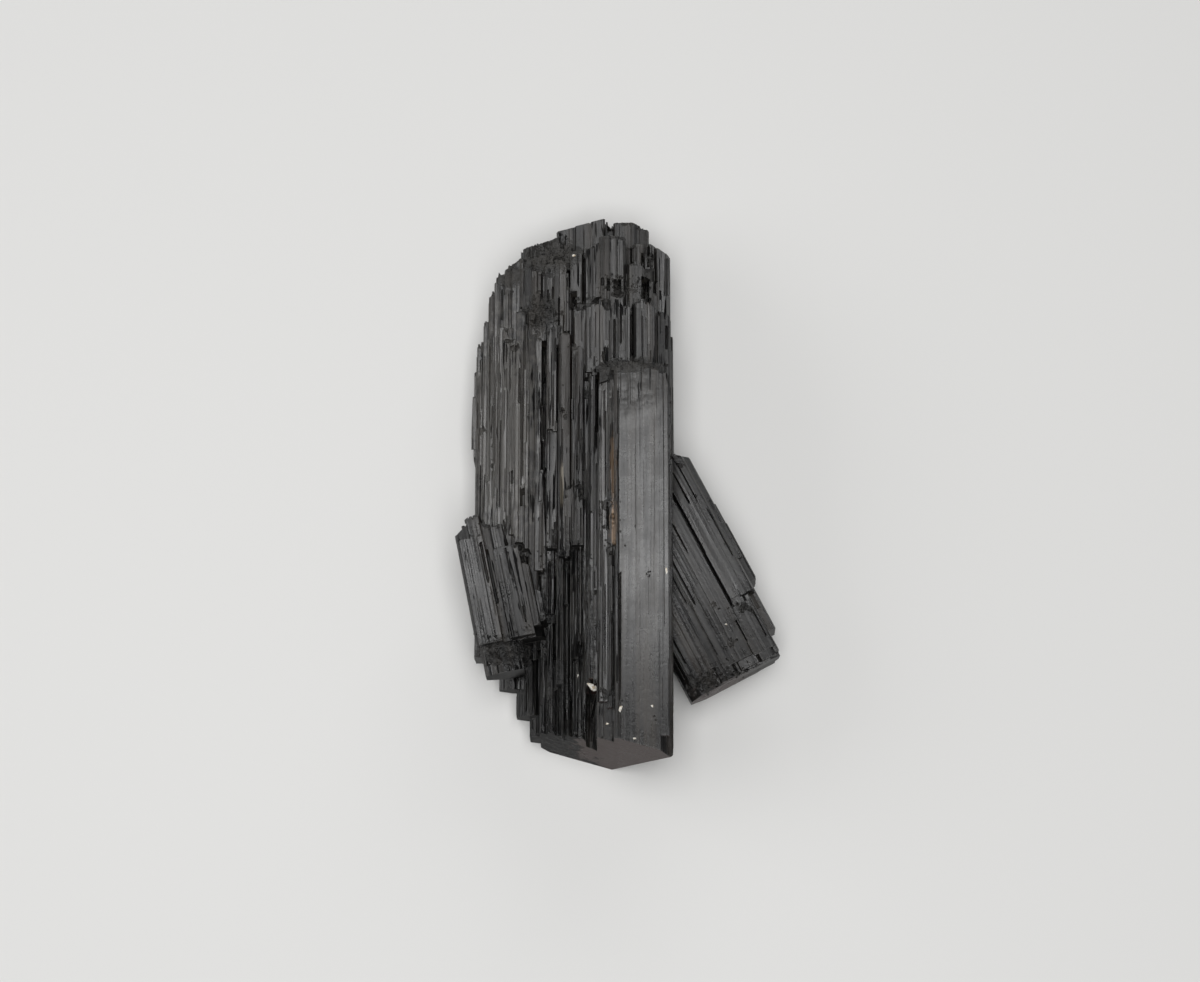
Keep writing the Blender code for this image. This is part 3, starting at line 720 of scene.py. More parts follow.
@dataclass(frozen=True)
class Slot:
    """A dark narrow slot between columns, at the place where the photograph shows it.

    Args:
        first: its upper end in the photograph's pixels.
        last: its lower end.
        width: its width in pixels.
        depth: its depth in millimetres.
        crystal: whose columns it parts.
    """

    first: Pair
    last: Pair
    width: float
    depth: float
    crystal: Crystal = MAIN

    NARROW = 3.5
    BITES = 4

    def place(self, surface: Surface, lens: "Lens", rng: random.Random, cuts: Placements,
              pits: Placements) -> None:
        """Place the slot's cut, and the small pits that roughen its rim.

        Args:
            surface: the body's surface.
            lens: the camera that its pixels belong to.
            rng: source of randomness.
            cuts: takes the cut.
            pits: takes the pits.
        """
        pixel = 1.0 / PIXELS_PER_MM
        middle = [(a + b) / 2 for a, b in zip(self.first, self.last)]
        found = surface.hit(lens.eye, lens.ray(middle))
        if found is None:
            return
        length = math.dist(self.first, self.last) * pixel
        width = self.width * pixel
        turn = along_surface(self.crystal.axis, Vector((0.0, 0.0, 1.0)))
        if self.width > self.NARROW:
            for _ in range(self.BITES):
                side = Vector((rng.uniform(-0.3, 0.3) * width, rng.uniform(-0.36, 0.36) * length, 0.0))
                size = (width * rng.uniform(0.5, 1.0), length * rng.uniform(0.45, 0.9), 2.4 * self.depth)
                twist = Matrix.Rotation(rng.uniform(-0.3, 0.3), 3, "Z")
                pits.add(found[0] + turn @ side, turn @ twist, size)
            return
        cuts.add(found[0], turn, (width, length / 2, self.depth))
        for _ in range(2 + int(length)):
            side = turn @ Vector((rng.choice((-0.5, 0.5)) * width, rng.uniform(-0.5, 0.5) * length, 0.1))
            size = rng.uniform(0.15, 0.4)
            pits.add(found[0] + side, tumbled(rng), (size, size * rng.uniform(1.0, 2.0), 0.5))


@dataclass(frozen=True)
class Plate:
    """A broad smooth face over the front of some columns.

    Args:
        crystal: whose face it is.
        across: its span across, in the crystal's frame.
        along: its span along the axis.
        levels: its lower and upper level.
        lean: turn about the axis, in degrees, about the middle.
        rise: turn that lifts its lower end, in degrees.
    """

    crystal: Crystal
    across: Pair
    along: Pair
    levels: Pair
    lean: float = 0.0
    rise: float = 0.0

    def place(self, into: Placements) -> None:
        """Place the plate as a slab.

        Args:
            into: takes the slab.
        """
        spans = (self.across, self.along, self.levels)
        middle = Vector([(low + high) / 2 for low, high in spans])
        turn = self.crystal.frame.to_3x3() @ Matrix.Rotation(math.radians(self.lean), 3, "Y") \
            @ Matrix.Rotation(math.radians(-self.rise), 3, "X")
        into.add(self.crystal.frame @ middle, turn, [(high - low) / 2 for low, high in spans])


@dataclass(frozen=True)
class Slope:
    """A straight sloping cut across the head of some columns.

    Args:
        first: left end of the cut, across and up.
        last: right end.
        levels: levels that it lies between.
    """

    first: Pair
    last: Pair
    levels: Pair

    def place(self, into: Placements) -> None:
        """Set a slab over the columns, with its lower side on the cut.

        Args:
            into: takes the slab.
        """
        first, last = Vector((*self.first, 0.0)), Vector((*self.last, 0.0))
        run = last - first
        turn = Matrix.Rotation(math.atan2(run.y, run.x), 3, "Z")
        low, high = self.levels
        middle = (first + last) / 2 + turn @ Vector((0.0, 2.0, 0.0))
        into.add(middle + Vector((0.0, 0.0, (low + high) / 2)), turn,
                 (run.length / 2, 2.0, (high - low) / 2))


@dataclass(frozen=True)
class Wear:
    """Chips along one kind of outer edge.

    Args:
        count: how many chips there are.
        sizes: range of their sizes.
        slender: range of a chip's length over its width.
        bite: how far a chip's middle lies outside the edge, as shares of its size.
        tops: whether only the ends of columns are worn.
        corners: share of the chips that sit at an edge's end.
        floor: level under which edges stay whole, so that the rest face stays flat.
    """

    count: int
    sizes: Pair
    slender: Pair = (1.0, 4.0)
    bite: Pair = (0.12, 0.38)
    tops: bool = False
    corners: float = 0.0
    floor: float = 0.4

    SHARP = 0.35
    SHORTEST = 0.6
    SHORTEST_TOP = 0.3
    TOP_FACING = 0.8
    WALL_FACING = 0.1
    FRONT_LEVEL = 9.0
    FRONT_WEIGHT = 3.0

    def takes(self, edge: bmesh.types.BMEdge) -> bool:
        """Tell whether an edge is one that wears.

        Args:
            edge: an edge of the body.

        Returns:
            Whether chips may sit on it.
        """
        if len(edge.link_faces) != 2 or edge.calc_face_angle_signed(0.0) < self.SHARP:
            return False
        if min(vert.co.z for vert in edge.verts) < self.floor:
            return False
        if not self.tops:
            return edge.calc_length() > self.SHORTEST
        spot = edge.verts[0].co.lerp(edge.verts[1].co, 0.5)
        shares = []
        for face in edge.link_faces:
            crystal = owner(spot, face.normal)
            if (crystal.frame.inverted() @ spot).y < crystal.clear:
                return False
            shares.append(face.normal.dot(crystal.axis))
        stepped = max(shares) > self.TOP_FACING and min(shares) < self.WALL_FACING
        return stepped and edge.calc_length() > self.SHORTEST_TOP

    def chips(self, mesh: bpy.types.Mesh, rng: random.Random) -> Placements:
        """Place the chips along a body's edges.

        Args:
            mesh: the body.
            rng: source of randomness.

        Returns:
            The chips to cut.
        """
        chips = Placements()
        bm = bmesh.new()
        bm.from_mesh(mesh)
        bm.normal_update()
        edges = [edge for edge in bm.edges if self.takes(edge)]
        weights = [edge.calc_length() for edge in edges]
        weights = [weight * self.FRONT_WEIGHT if edge.verts[0].co.z > self.FRONT_LEVEL else weight
                   for edge, weight in zip(edges, weights)]
        for edge in rng.choices(edges, weights, k=self.count):
            first, last = (vert.co for vert in edge.verts)
            out = (edge.link_faces[0].normal + edge.link_faces[1].normal).normalized()
            turn = along_surface((last - first).normalized(), out)
            size = skewed(rng, self.sizes, 2.5)
            share = rng.choice((0.0, 1.0)) if rng.random() < self.corners else rng.random()
            spot = first.lerp(last, share) + out * size * rng.uniform(*self.bite)
            wobble = Matrix.Rotation(rng.uniform(-0.4, 0.4), 3, "X")
            roll = Matrix.Rotation(rng.uniform(0, math.tau), 3, "Y")
            chips.add(spot, turn @ wobble @ roll, (size, size * rng.uniform(*self.slender), size))
        bm.free()
        return chips


def facet_tilt(spot: Vector, normal: Vector, crystal: Crystal) -> Vector:
    """Small lean of a facet out of its ideal plane, the same all over the facet.

    Args:
        spot: a point of the facet.
        normal: its direction.
        crystal: whose facet it is.

    Returns:
        What is added to the facet's normal.
    """
    plane = [round(value * NORMAL_STEPS) for value in normal]
    plane.append(round(spot.dot(normal) / FACET_STEP))
    rng = random.Random(sum(value * weight for value, weight in zip(plane, (1, 101, 10007, 1000003))))
    if normal.dot(crystal.axis) < -END_LIMIT:
        return Vector((0.0, 0.0, FOOT_DOME))
    (left, right), (low, high) = TURNED_BOX
    turned = crystal is MAIN and left < spot.x < right and low < spot.y < high
    (inner, outer), (foot, head) = SHOULDER_BOX
    if crystal is MAIN and inner < spot.x < outer and foot < spot.y < head and 0.3 < normal.z < 0.95:
        return SHOULDER_DOME
    if spot.z > BROAD_LEVEL and normal.z > END_LIMIT:
        return BROAD_TILT
    across, along = TURNED_SWAY if turned else crystal.sway
    side = crystal.axis.cross(normal)
    return side * rng.gauss(0.0, across) + crystal.axis * (crystal.bow + rng.gauss(0.0, along))


@dataclass
class Specimen:
    """The three crystals in one mesh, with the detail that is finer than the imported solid."""

    carver: Carver
    shelf: ShapeShelf
    lens: "Lens"
    seed: int = 11

    LATHS = (
        Field(MAIN, 0, (-15.5, -4.0), (-20.0, 27.0), 90, (0.25, 1.0), (0.02, 0.1), (3.0, 16.0), 0.5),
        Field(MAIN, 0, (-4.0, 2.3), (-33.0, 24.0), 70, (0.2, 0.8), (0.02, 0.1), (3.0, 16.0), 0.5),
        Field(MAIN, 0, (2.3, 8.6), (14.0, 33.0), 14, (0.3, 0.8), (0.02, 0.07), (2.0, 8.0), 0.5),
        Field(MAIN, -65, (-9.0, 14.0), (-30.0, 28.0), 80, (0.3, 1.0), (0.03, 0.14), (3.0, 16.0), 0.5),
        Field(MAIN, 90, (-15.0, 0.0), (-33.0, 30.0), 60, (0.3, 1.2), (0.03, 0.12), (3.0, 18.0), 0.5),
        Field(LEFT, 0, (-2.6, 6.1), (1.0, 17.0), 6, (0.4, 1.0), (0.02, 0.05), (2.0, 9.0), 0.6),
        Field(LEFT, -80, (-15.0, -6.0), (0.0, 16.0), 18, (0.2, 0.8), (0.03, 0.12), (2.0, 9.0), 0.5),
        Field(RIGHT, 85, (-11.0, -2.0), (0.0, 26.0), 24, (0.2, 0.9), (0.03, 0.12), (3.0, 12.0), 0.5),
    )
    GROOVES = (
        Field(MAIN, 0, (-15.5, -4.0), (-20.0, 27.0), 130, (0.05, 0.24), (0.04, 0.4), (1.5, 12.0), 0.2),
        Field(MAIN, 0, (-14.0, -4.0), (-34.0, -20.0), 60, (0.06, 0.26), (0.05, 0.3), (1.5, 7.0), 0.3),
        Field(MAIN, 0, (-4.0, 2.3), (-33.0, 24.0), 110, (0.05, 0.24), (0.04, 0.4), (1.5, 12.0), 0.2),
        Field(MAIN, 0, (-6.0, 8.6), (22.0, 36.0), 34, (0.05, 0.16), (0.03, 0.2), (1.0, 6.0), 0.2),
        Field(MAIN, 0, (2.3, 8.6), (13.6, 24.0), 22, (0.05, 0.18), (0.03, 0.2), (1.0, 6.0), 0.2),
        Field(MAIN, 0, (2.4, 7.4), (-32.0, 13.0), 5, (0.04, 0.07), (0.01, 0.03), (4.0, 18.0), 0.1),
        Field(MAIN, 0, (7.4, 8.8), (-32.0, 20.0), 12, (0.05, 0.14), (0.03, 0.1), (4.0, 18.0), 0.2),
        Field(MAIN, -65, (-9.0, 14.0), (-30.0, 28.0), 90, (0.08, 0.32), (0.05, 0.3), (3.0, 16.0), 0.3),
        Field(MAIN, 90, (-15.0, 0.0), (-33.0, 30.0), 70, (0.08, 0.32), (0.05, 0.26), (3.0, 18.0), 0.3),
        Field(MAIN, 180, (-8.0, 12.0), (-33.0, 28.0), 80, (0.1, 0.42), (0.05, 0.26), (4.0, 24.0), 0.3),
        Field(LEFT, 0, (-2.6, 6.1), (1.0, 17.0), 12, (0.05, 0.14), (0.03, 0.14), (1.5, 8.0), 0.2),
        Field(LEFT, -80, (-15.0, -6.0), (0.0, 16.0), 30, (0.06, 0.28), (0.05, 0.22), (2.0, 9.0), 0.3),
        Field(LEFT, 180, (-6.0, 3.0), (0.0, 16.0), 20, (0.06, 0.28), (0.05, 0.22), (2.0, 9.0), 0.3),
        Field(RIGHT, 0, (-5.8, -1.5), (3.0, 27.0), 22, (0.04, 0.12), (0.03, 0.12), (3.0, 14.0), 0.3),
        Field(RIGHT, 0, (-1.5, 8.4), (2.0, 27.0), 10, (0.04, 0.1), (0.02, 0.06), (2.0, 10.0), 0.2),
        Field(RIGHT, 85, (-11.0, -2.0), (0.0, 26.0), 36, (0.06, 0.28), (0.05, 0.22), (3.0, 12.0), 0.3),
        Field(RIGHT, 180, (-8.0, 6.0), (0.0, 26.0), 36, (0.08, 0.32), (0.05, 0.22), (3.0, 14.0), 0.3),
    )
    ENDS = (
        Field(MAIN, 0, (-15.6, 8.6), (-30.0, 30.0), 520, (0.25, 0.9), (0.1, 0.2), (0.8, 2.0)),
        Field(LEFT, 0, (-2.6, 6.1), (-2.0, 17.0), 50, (0.25, 0.8), (0.1, 0.2), (0.8, 2.0)),
        Field(RIGHT, 0, (-5.8, 8.4), (-1.0, 27.0), 70, (0.25, 0.8), (0.1, 0.2), (0.8, 2.0)),
        Field(MAIN, 180, (-8.0, 12.0), (-30.0, 28.0), 40, (0.3, 0.9), (0.1, 0.2), (0.8, 2.0)),
    )
    GROUND = (
        Patch((-6.2, 30.4), (3.4, 2.7), 250, (0.2, 0.7)),
        Patch((-11.3, 27.4), (1.8, 1.6), 80, (0.15, 0.5)),
        Patch((-7.4, 22.3), (1.9, 2.4), 120, (0.15, 0.5)),
        Patch((2.9, 14.7), (3.4, 0.8), 100, (0.2, 0.7)),
        Patch((2.7, 14.8), (3.6, 0.4), 22, (0.6, 1.4), 0.3),
        Patch((-11.9, -20.6), (3.2, 1.7), 150, (0.2, 0.6), turn=11.5),
        Patch((-6.6, -10.6), (0.9, 4.4), 60, (0.12, 0.35)),
        Patch((-5.2, -24.8), (1.1, 3.2), 60, (0.15, 0.4)),
        Patch((1.0, -26.6), (1.2, 0.8), 26, (0.15, 0.4)),
        Patch((3.0, 25.2), (3.8, 0.9), 110, (0.15, 0.6)),
        Patch((1.9, 26.0), (1.1, 1.0), 20, (0.3, 0.8), 0.2),
        Patch((5.7, 25.6), (0.7, 1.5), 20, (0.3, 0.8), 0.2),
        Patch((-3.3, 24.6), (0.7, 1.0), 14, (0.3, 0.8), 0.2),
        Patch((6.6, 29.6), (0.8, 1.6), 16, (0.3, 0.8), 0.25),
        Patch((12.4, -24.2), (2.4, 1.2), 90, (0.25, 0.9), turn=27.5),
        Patch((16.4, -23.6), (3.6, 0.35), 44, (0.15, 0.55), turn=22.0),
        Patch((-1.0, 24.0), (2.6, 1.0), 70, (0.12, 0.5)),
    )
    PITS = (
        Patch((-6.2, 30.4), (3.4, 2.7), 100, (0.15, 0.5), -0.1),
        Patch((-7.4, 22.3), (1.9, 2.4), 130, (0.2, 0.9), -0.05),
        Patch((13.2, -24.0), (3.4, 1.2), 80, (0.3, 1.0), -0.1, turn=27.5),
        Patch((17.8, -14.9), (1.9, 0.55), 40, (0.3, 0.9), -0.05, turn=-4.0),
        Patch((13.9, -14.6), (0.6, 0.5), 14, (0.2, 0.6), -0.1),
        Patch((16.2, -19.4), (1.5, 0.35), 26, (0.25, 0.7), -0.05, turn=20.0),
        Patch((2.0, 26.2), (2.4, 1.3), 50, (0.2, 0.7), -0.05),
        Patch((5.6, 25.8), (1.0, 1.7), 36, (0.2, 0.7), -0.05),
        Patch((16.6, -23.2), (3.6, 0.5), 40, (0.2, 0.7), turn=22.0),
        Patch((2.9, 14.2), (3.2, 0.9), 50, (0.15, 0.5), -0.1),
        Patch((-11.9, -20.6), (3.2, 1.7), 90, (0.2, 0.7), -0.1, turn=11.5),
        Patch((-6.6, -10.6), (0.9, 4.4), 70, (0.15, 0.5), -0.1),
        Patch((1.4, -5.4), (1.6, 4.6), 120, (0.1, 0.45), -0.1),
        Patch((-13.4, 4.6), (1.2, 1.6), 26, (0.1, 0.4), -0.1),
        Patch((-10.7, 17.7), (0.6, 0.9), 8, (0.1, 0.4), -0.1),
        Patch((-2.7, -0.4), (0.7, 1.6), 20, (0.1, 0.5), -0.1),
        Patch((-12.2, -14.6), (1.4, 3.6), 80, (0.1, 0.4), -0.1, turn=11.5),
        Patch((15.6, -22.0), (2.0, 1.0), 30, (0.15, 0.5), -0.1, turn=27.5),
        Patch((-4.2, -26.0), (3.4, 5.0), 90, (0.1, 0.4), -0.1),
        Patch((-4.2, 9.6), (1.4, 3.6), 40, (0.1, 0.35), -0.1),
        Patch((-9.0, 10.0), (6.0, 12.0), 80, (0.06, 0.2), -0.1),
        Patch((5.0, -10.0), (2.8, 18.0), 12, (0.06, 0.16), -0.1),
        Patch((5.8, -11.9), (0.4, 0.5), 7, (0.2, 0.5), -0.05),
        Patch((6.3, -29.1), (0.4, 0.5), 6, (0.15, 0.45), -0.05),
    )
    PLATES = (
        Plate(MAIN, (4.0, 8.3), (-31.4, 13.2), (8.0, 16.79)),
        Plate(RIGHT, (-4.4, -0.5), (1.3, 24.0), (8.0, 10.46)),
        Plate(RIGHT, (-0.7, 3.7), (1.2, 27.0), (8.0, 10.6)),
        Plate(RIGHT, (4.0, 5.4), (8.4, 26.0), (8.0, 10.9)),
        Plate(RIGHT, (5.2, 7.0), (9.3, 26.0), (8.0, 11.02)),
        Plate(RIGHT, (3.5, 6.3), (0.9, 7.4), (8.0, 10.36)),
        Plate(LEFT, (-2.2, 0.7), (1.4, 14.6), (11.0, 14.14)),
        Plate(LEFT, (1.7, 4.7), (1.4, 12.6), (11.0, 14.86)),
    )
    FINS = tuple(Plate(MAIN, (x - 0.09, x + 0.09), (low, high), (7.0, top)) for x, low, high, top in (
        (-5.9, -30.5, -3.9, 11.1), (-4.55, -31.3, -5.5, 12.1), (-3.45, -24.0, -3.2, 12.7),
        (-2.85, -30.8, -12.0, 12.5), (-1.85, -30.6, -2.0, 13.5), (-0.75, -22.0, -4.0, 12.9),
        (-5.2, -24.0, -8.5, 11.0), (-4.0, -29.0, -15.0, 12.1), (-2.4, -20.0, -6.0, 13.3),
    ))
    VALLEYS = (
        Plate(RIGHT, (3.7, 6.0), (6.6, 29.0), (10.32, 13.0), -10.0, 1.8),
    )
    SLOTS = tuple(Slot((x, top), (x, low), width, depth) for x, top, low, width, depth in (
        (568.5, 260, 285, 3, 0.9), (584.5, 252, 303, 3, 1.0), (574, 292, 312, 6, 1.2),
        (609, 277, 289, 4, 1.2), (618, 278, 293, 6, 1.4), (625.5, 279, 291, 3, 0.8),
        (602.5, 277, 286, 3, 0.7), (644.5, 278, 300, 3, 1.2), (648.5, 282, 304, 3, 1.4),
        (655.5, 280, 298, 3, 1.2), (660, 290, 300, 2, 0.7), (631, 247, 266, 2, 0.9),
        (643, 252, 266, 4, 1.0), (649, 245, 262, 2, 1.0), (609, 219, 233, 7, 1.6),
        (542, 270, 300, 2, 0.7), (548, 289, 302, 2, 0.6), (553, 286, 300, 2, 0.6),
        (559, 296, 330, 2, 0.8), (572.5, 300, 345, 2.5, 0.8), (633, 303, 357, 2.5, 1.1),
        (566, 712, 746, 3, 0.8), (577, 722, 749, 2.5, 0.7), (585.5, 700, 747, 3, 1.0),
        (571.5, 700, 741, 2, 0.6), (556, 690, 740, 3, 0.9), (548, 700, 738, 2.5, 0.8),
        (603, 345, 360, 5, 0.8), (614.5, 318, 360, 2.5, 0.7), (621, 300, 345, 1.8, 0.6),
        (666.5, 325, 350, 2.5, 0.8), (671, 330, 352, 2, 0.8), (543.5, 338, 400, 6, 1.2),
        (544, 400, 440, 3.5, 0.8), (556.5, 345, 433, 2.5, 0.7), (542, 440, 475, 2, 0.6),
        (596.5, 373, 437, 3, 1.1), (584.5, 360, 470, 2, 0.5), (589.5, 370, 560, 2.5, 0.5),
        (577, 455, 470, 1.8, 0.5), (584, 470, 500, 2, 0.6), (607.5, 500, 530, 3, 0.9),
        (505.5, 520, 552, 4, 0.6), (523, 545, 565, 4, 0.9), (564.5, 570, 600, 2.5, 0.7),
        (549.5, 560, 640, 3, 0.8), (580.5, 640, 672, 6, 1.0), (594, 692, 748, 7, 1.6),
        (620, 573, 700, 3, 0.4), (612.5, 573, 700, 2.5, 0.4), (500, 440, 470, 1.8, 0.4),
        (512, 470, 484, 2.5, 0.5), (516, 345, 352, 3, 0.5), (671, 400, 460, 2, 0.6),
    )) + (
        Slot((480, 542), (489, 583), 3.0, 0.7, LEFT), Slot((522, 606), (527, 622), 2.0, 0.4, LEFT),
        Slot((504, 548), (512, 575), 1.8, 0.4, LEFT),
        Slot((675, 463), (699, 502), 2.0, 0.5, RIGHT), Slot((672, 472), (690, 504), 2.0, 0.5, RIGHT),
        Slot((670, 490), (706, 556), 3.4, 1.3, RIGHT), Slot((704, 552), (732, 606), 2.2, 0.8, RIGHT),
        Slot((669, 518), (688, 553), 1.8, 0.5, RIGHT), Slot((668, 550), (694, 606), 2.2, 0.5, RIGHT),
        Slot((692, 602), (715, 656), 1.0, 0.15, RIGHT), Slot((672, 575), (686, 604), 1.4, 0.4, RIGHT),
        Slot((706, 508), (734, 556), 1.3, 0.3, RIGHT), Slot((736, 620), (747, 642), 2.0, 0.6, RIGHT),
        Slot((752, 608), (766, 636), 1.6, 0.5, RIGHT), Slot((747, 642), (757, 662), 1.0, 0.3, RIGHT),
    )
    SLOPES = (
        Slope((-5.7, 34.1), (0.85, 35.85), (-1.0, 14.0)),
        Slope((6.1, 32.9), (9.2, 30.9), (-1.0, 14.0)),
        Slope((-10.0, 31.2), (-5.2, 33.2), (-1.0, 14.0)),
        Slope((-18.0, -5.7), (-15.2, -3.3), (-1.0, 16.0)),
    )
    TOPS = Wear(500, (0.45, 1.9), (0.7, 1.6), (0.08, 0.32), tops=True, corners=0.55)
    EDGES = Wear(370, (0.08, 0.36))

    def merged_copy(self) -> bpy.types.Object:
        """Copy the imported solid, merge its split points, and measure it in millimetres.

        Returns:
            The copy.
        """
        bm = bmesh.new()
        bm.from_mesh(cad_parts[NODE].data)
        bmesh.ops.remove_doubles(bm, verts=bm.verts[:], dist=1e-7)
        bm.transform(Matrix.Translation(BASE_MIDDLE) @ Matrix.Scale(1.0 / MM, 4))
        open_edges = sum(len(edge.link_faces) != 2 for edge in bm.edges)
        LOG.info("packed solid: %d faces, %d open edges", len(bm.faces), open_edges)
        mesh = bpy.data.meshes.new("schorl_cluster")
        bm.to_mesh(mesh)
        bm.free()
        body = bpy.data.objects.new("schorl_cluster", mesh)
        bpy.context.scene.collection.objects.link(body)
        return body

    def build(self) -> bpy.types.Object:
        """Grow the laths and the broken ground, then cut grooves, chips and pits.

        Returns:
            The finished body, in metres.
        """
        rng = random.Random(self.seed)
        body = self.merged_copy()
        work, shelf = self.carver.work, self.shelf

        surface = Surface(body.data)
        laths = lay_strips(self.LATHS, surface, rng, 0.0)
        work(body, Joining.ADD, laths, shelf.laths, self.seed)
        spurs, notches = ragged_ends(self.ENDS, surface, rng, (0.05, 0.35), 1.0)
        work(body, Joining.ADD, spurs, shelf.laths, self.seed + 1)

        added, removed = Placements(), Placements()
        for plate in self.PLATES + self.FINS:
            plate.place(added)
        for cut in self.VALLEYS + self.SLOPES:
            cut.place(removed)
        work(body, Joining.ADD, added, shelf.slabs, self.seed + 9)
        work(body, Joining.CUT, removed, shelf.slabs, self.seed + 9)
        work(body, Joining.CUT, self.TOPS.chips(body.data, rng), shelf.stones, self.seed + 8)

        surface = Surface(body.data)
        slots, rims = Placements(), Placements()
        for slot in self.SLOTS:
            slot.place(surface, self.lens, rng, slots, rims)
        work(body, Joining.CUT, slots, shelf.grooves, self.seed + 10)
        work(body, Joining.CUT, rims, shelf.stones, self.seed + 11)

        surface = Surface(body.data)
        stones = Placements()
        for patch in self.GROUND:
            patch.place(surface, rng, stones)
        grooves = lay_strips(self.GROOVES, surface, rng, 0.4)
        work(body, Joining.ADD, stones, shelf.stones, self.seed + 2)
        work(body, Joining.CUT, grooves, shelf.grooves, self.seed + 3)
        work(body, Joining.CUT, notches, shelf.stones, self.seed + 4)

        surface = Surface(body.data)
        pits = Placements()
        for patch in self.PITS:
            patch.place(surface, rng, pits)
        work(body, Joining.CUT, pits, shelf.stones, self.seed + 5)
        work(body, Joining.CUT, self.EDGES.chips(body.data, rng), shelf.stones, self.seed + 6)

        # Nothing may reach under the surface that the specimen lies on.
        below = Placements()
        below.add(Vector((0.0, 0.0, -10.0)), Matrix.Identity(3), (100.0, 100.0, 10.0))
        work(body, Joining.CUT, below, shelf.slabs, self.seed + 7)
        self.clean(body)
        self.record_grain(body.data)
        return body

    @staticmethod
    def clean(body: bpy.types.Object) -> None:
        """Drop loose crumbs and pairs of back-to-back triangles, so that the mesh is one closed body.

        Args:
            body: the object whose mesh is cleaned.
        """
        bm = bmesh.new()
        bm.from_mesh(body.data)
        seen, bodies = set(), []
        for start in bm.verts:
            if start in seen:
                continue
            seen.add(start)
            group = [start]
            for point in group:
                near = [edge.other_vert(point) for edge in point.link_edges]
                fresh = [vert for vert in near if vert not in seen]
                seen.update(fresh)
                group.extend(fresh)
            bodies.append(group)
        crumbs = sorted(bodies, key=len)[:-1]
        for group in crumbs:
            bmesh.ops.delete(bm, geom=group, context="VERTS")
        bmesh.ops.triangulate(bm, faces=bm.faces[:])
        twins = {}
        for face in bm.faces:
            twins.setdefault(frozenset(face.verts), []).append(face)
        flat = [face for faces in twins.values() if len(faces) > 1 for face in faces]
        bmesh.ops.delete(bm, geom=flat, context="FACES_ONLY")
        bmesh.ops.delete(bm, geom=[edge for edge in bm.edges if not edge.link_faces], context="EDGES")
        bmesh.ops.delete(bm, geom=[vert for vert in bm.verts if not vert.link_faces], context="VERTS")
        open_edges = sum(len(edge.link_faces) != 2 for edge in bm.edges)
        LOG.info("specimen: %d triangles, %d crumbs dropped, %d open edges",
                 len(bm.faces), len(crumbs), open_edges)
        bm.to_mesh(body.data)
        bm.free()

    @staticmethod
    def record_grain(mesh: bpy.types.Mesh) -> None:
        """Store each crystal's own coordinates on its faces, then go over to metres.

        The attribute "grain" holds millimetres across, along and out in the frame of the
        crystal that a face belongs to, so that the striation runs along its axis. The
        attribute "fracture" is 1 on faces that are neither walls nor flat ends, "end" is 1 on
        the ends, and "tilt" is the small lean of each facet out of its ideal plane.

        Args:
            mesh: the body, in millimetres before and in metres after.
        """
        into = {crystal.name: crystal.frame.inverted() for crystal in CRYSTALS}
        values = np.zeros((len(mesh.loops), 3), np.float32)
        broken = np.zeros(len(mesh.polygons), np.float32)
        ends = np.zeros(len(mesh.polygons), np.float32)
        tilts = np.zeros((len(mesh.polygons), 3), np.float32)
        points = np.zeros(len(mesh.vertices) * 3, np.float32)
        mesh.vertices.foreach_get("co", points)
        points = points.reshape(-1, 3)
        for poly in mesh.polygons:
            crystal = owner(poly.center, poly.normal)
            turn = into[crystal.name]
            facing = abs(poly.normal.dot(crystal.axis))
            broken[poly.index] = ALONG_LIMIT * 2 < facing < END_LIMIT
            ends[poly.index] = facing >= END_LIMIT
            tilts[poly.index] = facet_tilt(poly.center, poly.normal, crystal)
            for loop in poly.loop_indices:
                values[loop] = turn @ Vector(points[mesh.loops[loop].vertex_index])
        layer = mesh.attributes.new("grain", "FLOAT_VECTOR", "CORNER")
        layer.data.foreach_set("vector", values.ravel())
        layer = mesh.attributes.new("tilt", "FLOAT_VECTOR", "FACE")
        layer.data.foreach_set("vector", tilts.ravel())
        for name, shares in (("fracture", broken), ("end", ends)):
            layer = mesh.attributes.new(name, "FLOAT", "FACE")
            layer.data.foreach_set("value", shares)
        mesh.transform(Matrix.Scale(MM, 4) @ Matrix.Translation(-BASE_MIDDLE))
        mesh.update()


class Lens:
    """The photograph's camera."""

    def __init__(self) -> None:
        """Work out where the camera is and which way it looks."""
        self.aim = AIM_POINT
        self.back = Vector((0.0, -math.sin(CAMERA_TILT), math.cos(CAMERA_TILT)))
        self.eye = self.aim + self.back * CAMERA_DISTANCE
        self.up = Vector((0.0, math.cos(CAMERA_TILT), math.sin(CAMERA_TILT)))
        self.pixels = FRAME_PIXELS[0] * CAMERA_LENS / SENSOR

    def ray(self, pixel: Pair) -> Vector:
        """Direction from the camera through a pixel of the photograph.

        Args:
            pixel: the pixel, across and down.

        Returns:
            The direction.
        """
        across = (pixel[0] - AIM_PIXEL[0]) / self.pixels
        up = (AIM_PIXEL[1] - pixel[1]) / self.pixels
        return (Vector((across, 0.0, 0.0)) + self.up * up - self.back).normalized()

    def place_camera(self) -> None:
        """Make the camera, and use it for the scene."""
        data = bpy.data.cameras.new("photo_camera")
        data.lens = CAMERA_LENS
        data.sensor_width = SENSOR
        data.clip_start = 0.01
        camera = bpy.data.objects.new("photo_camera", data)
        camera.location = (self.eye - BASE_MIDDLE) * MM
        camera.rotation_euler = (CAMERA_TILT, 0.0, 0.0)
        bpy.context.scene.collection.objects.link(camera)
        bpy.context.scene.camera = camera


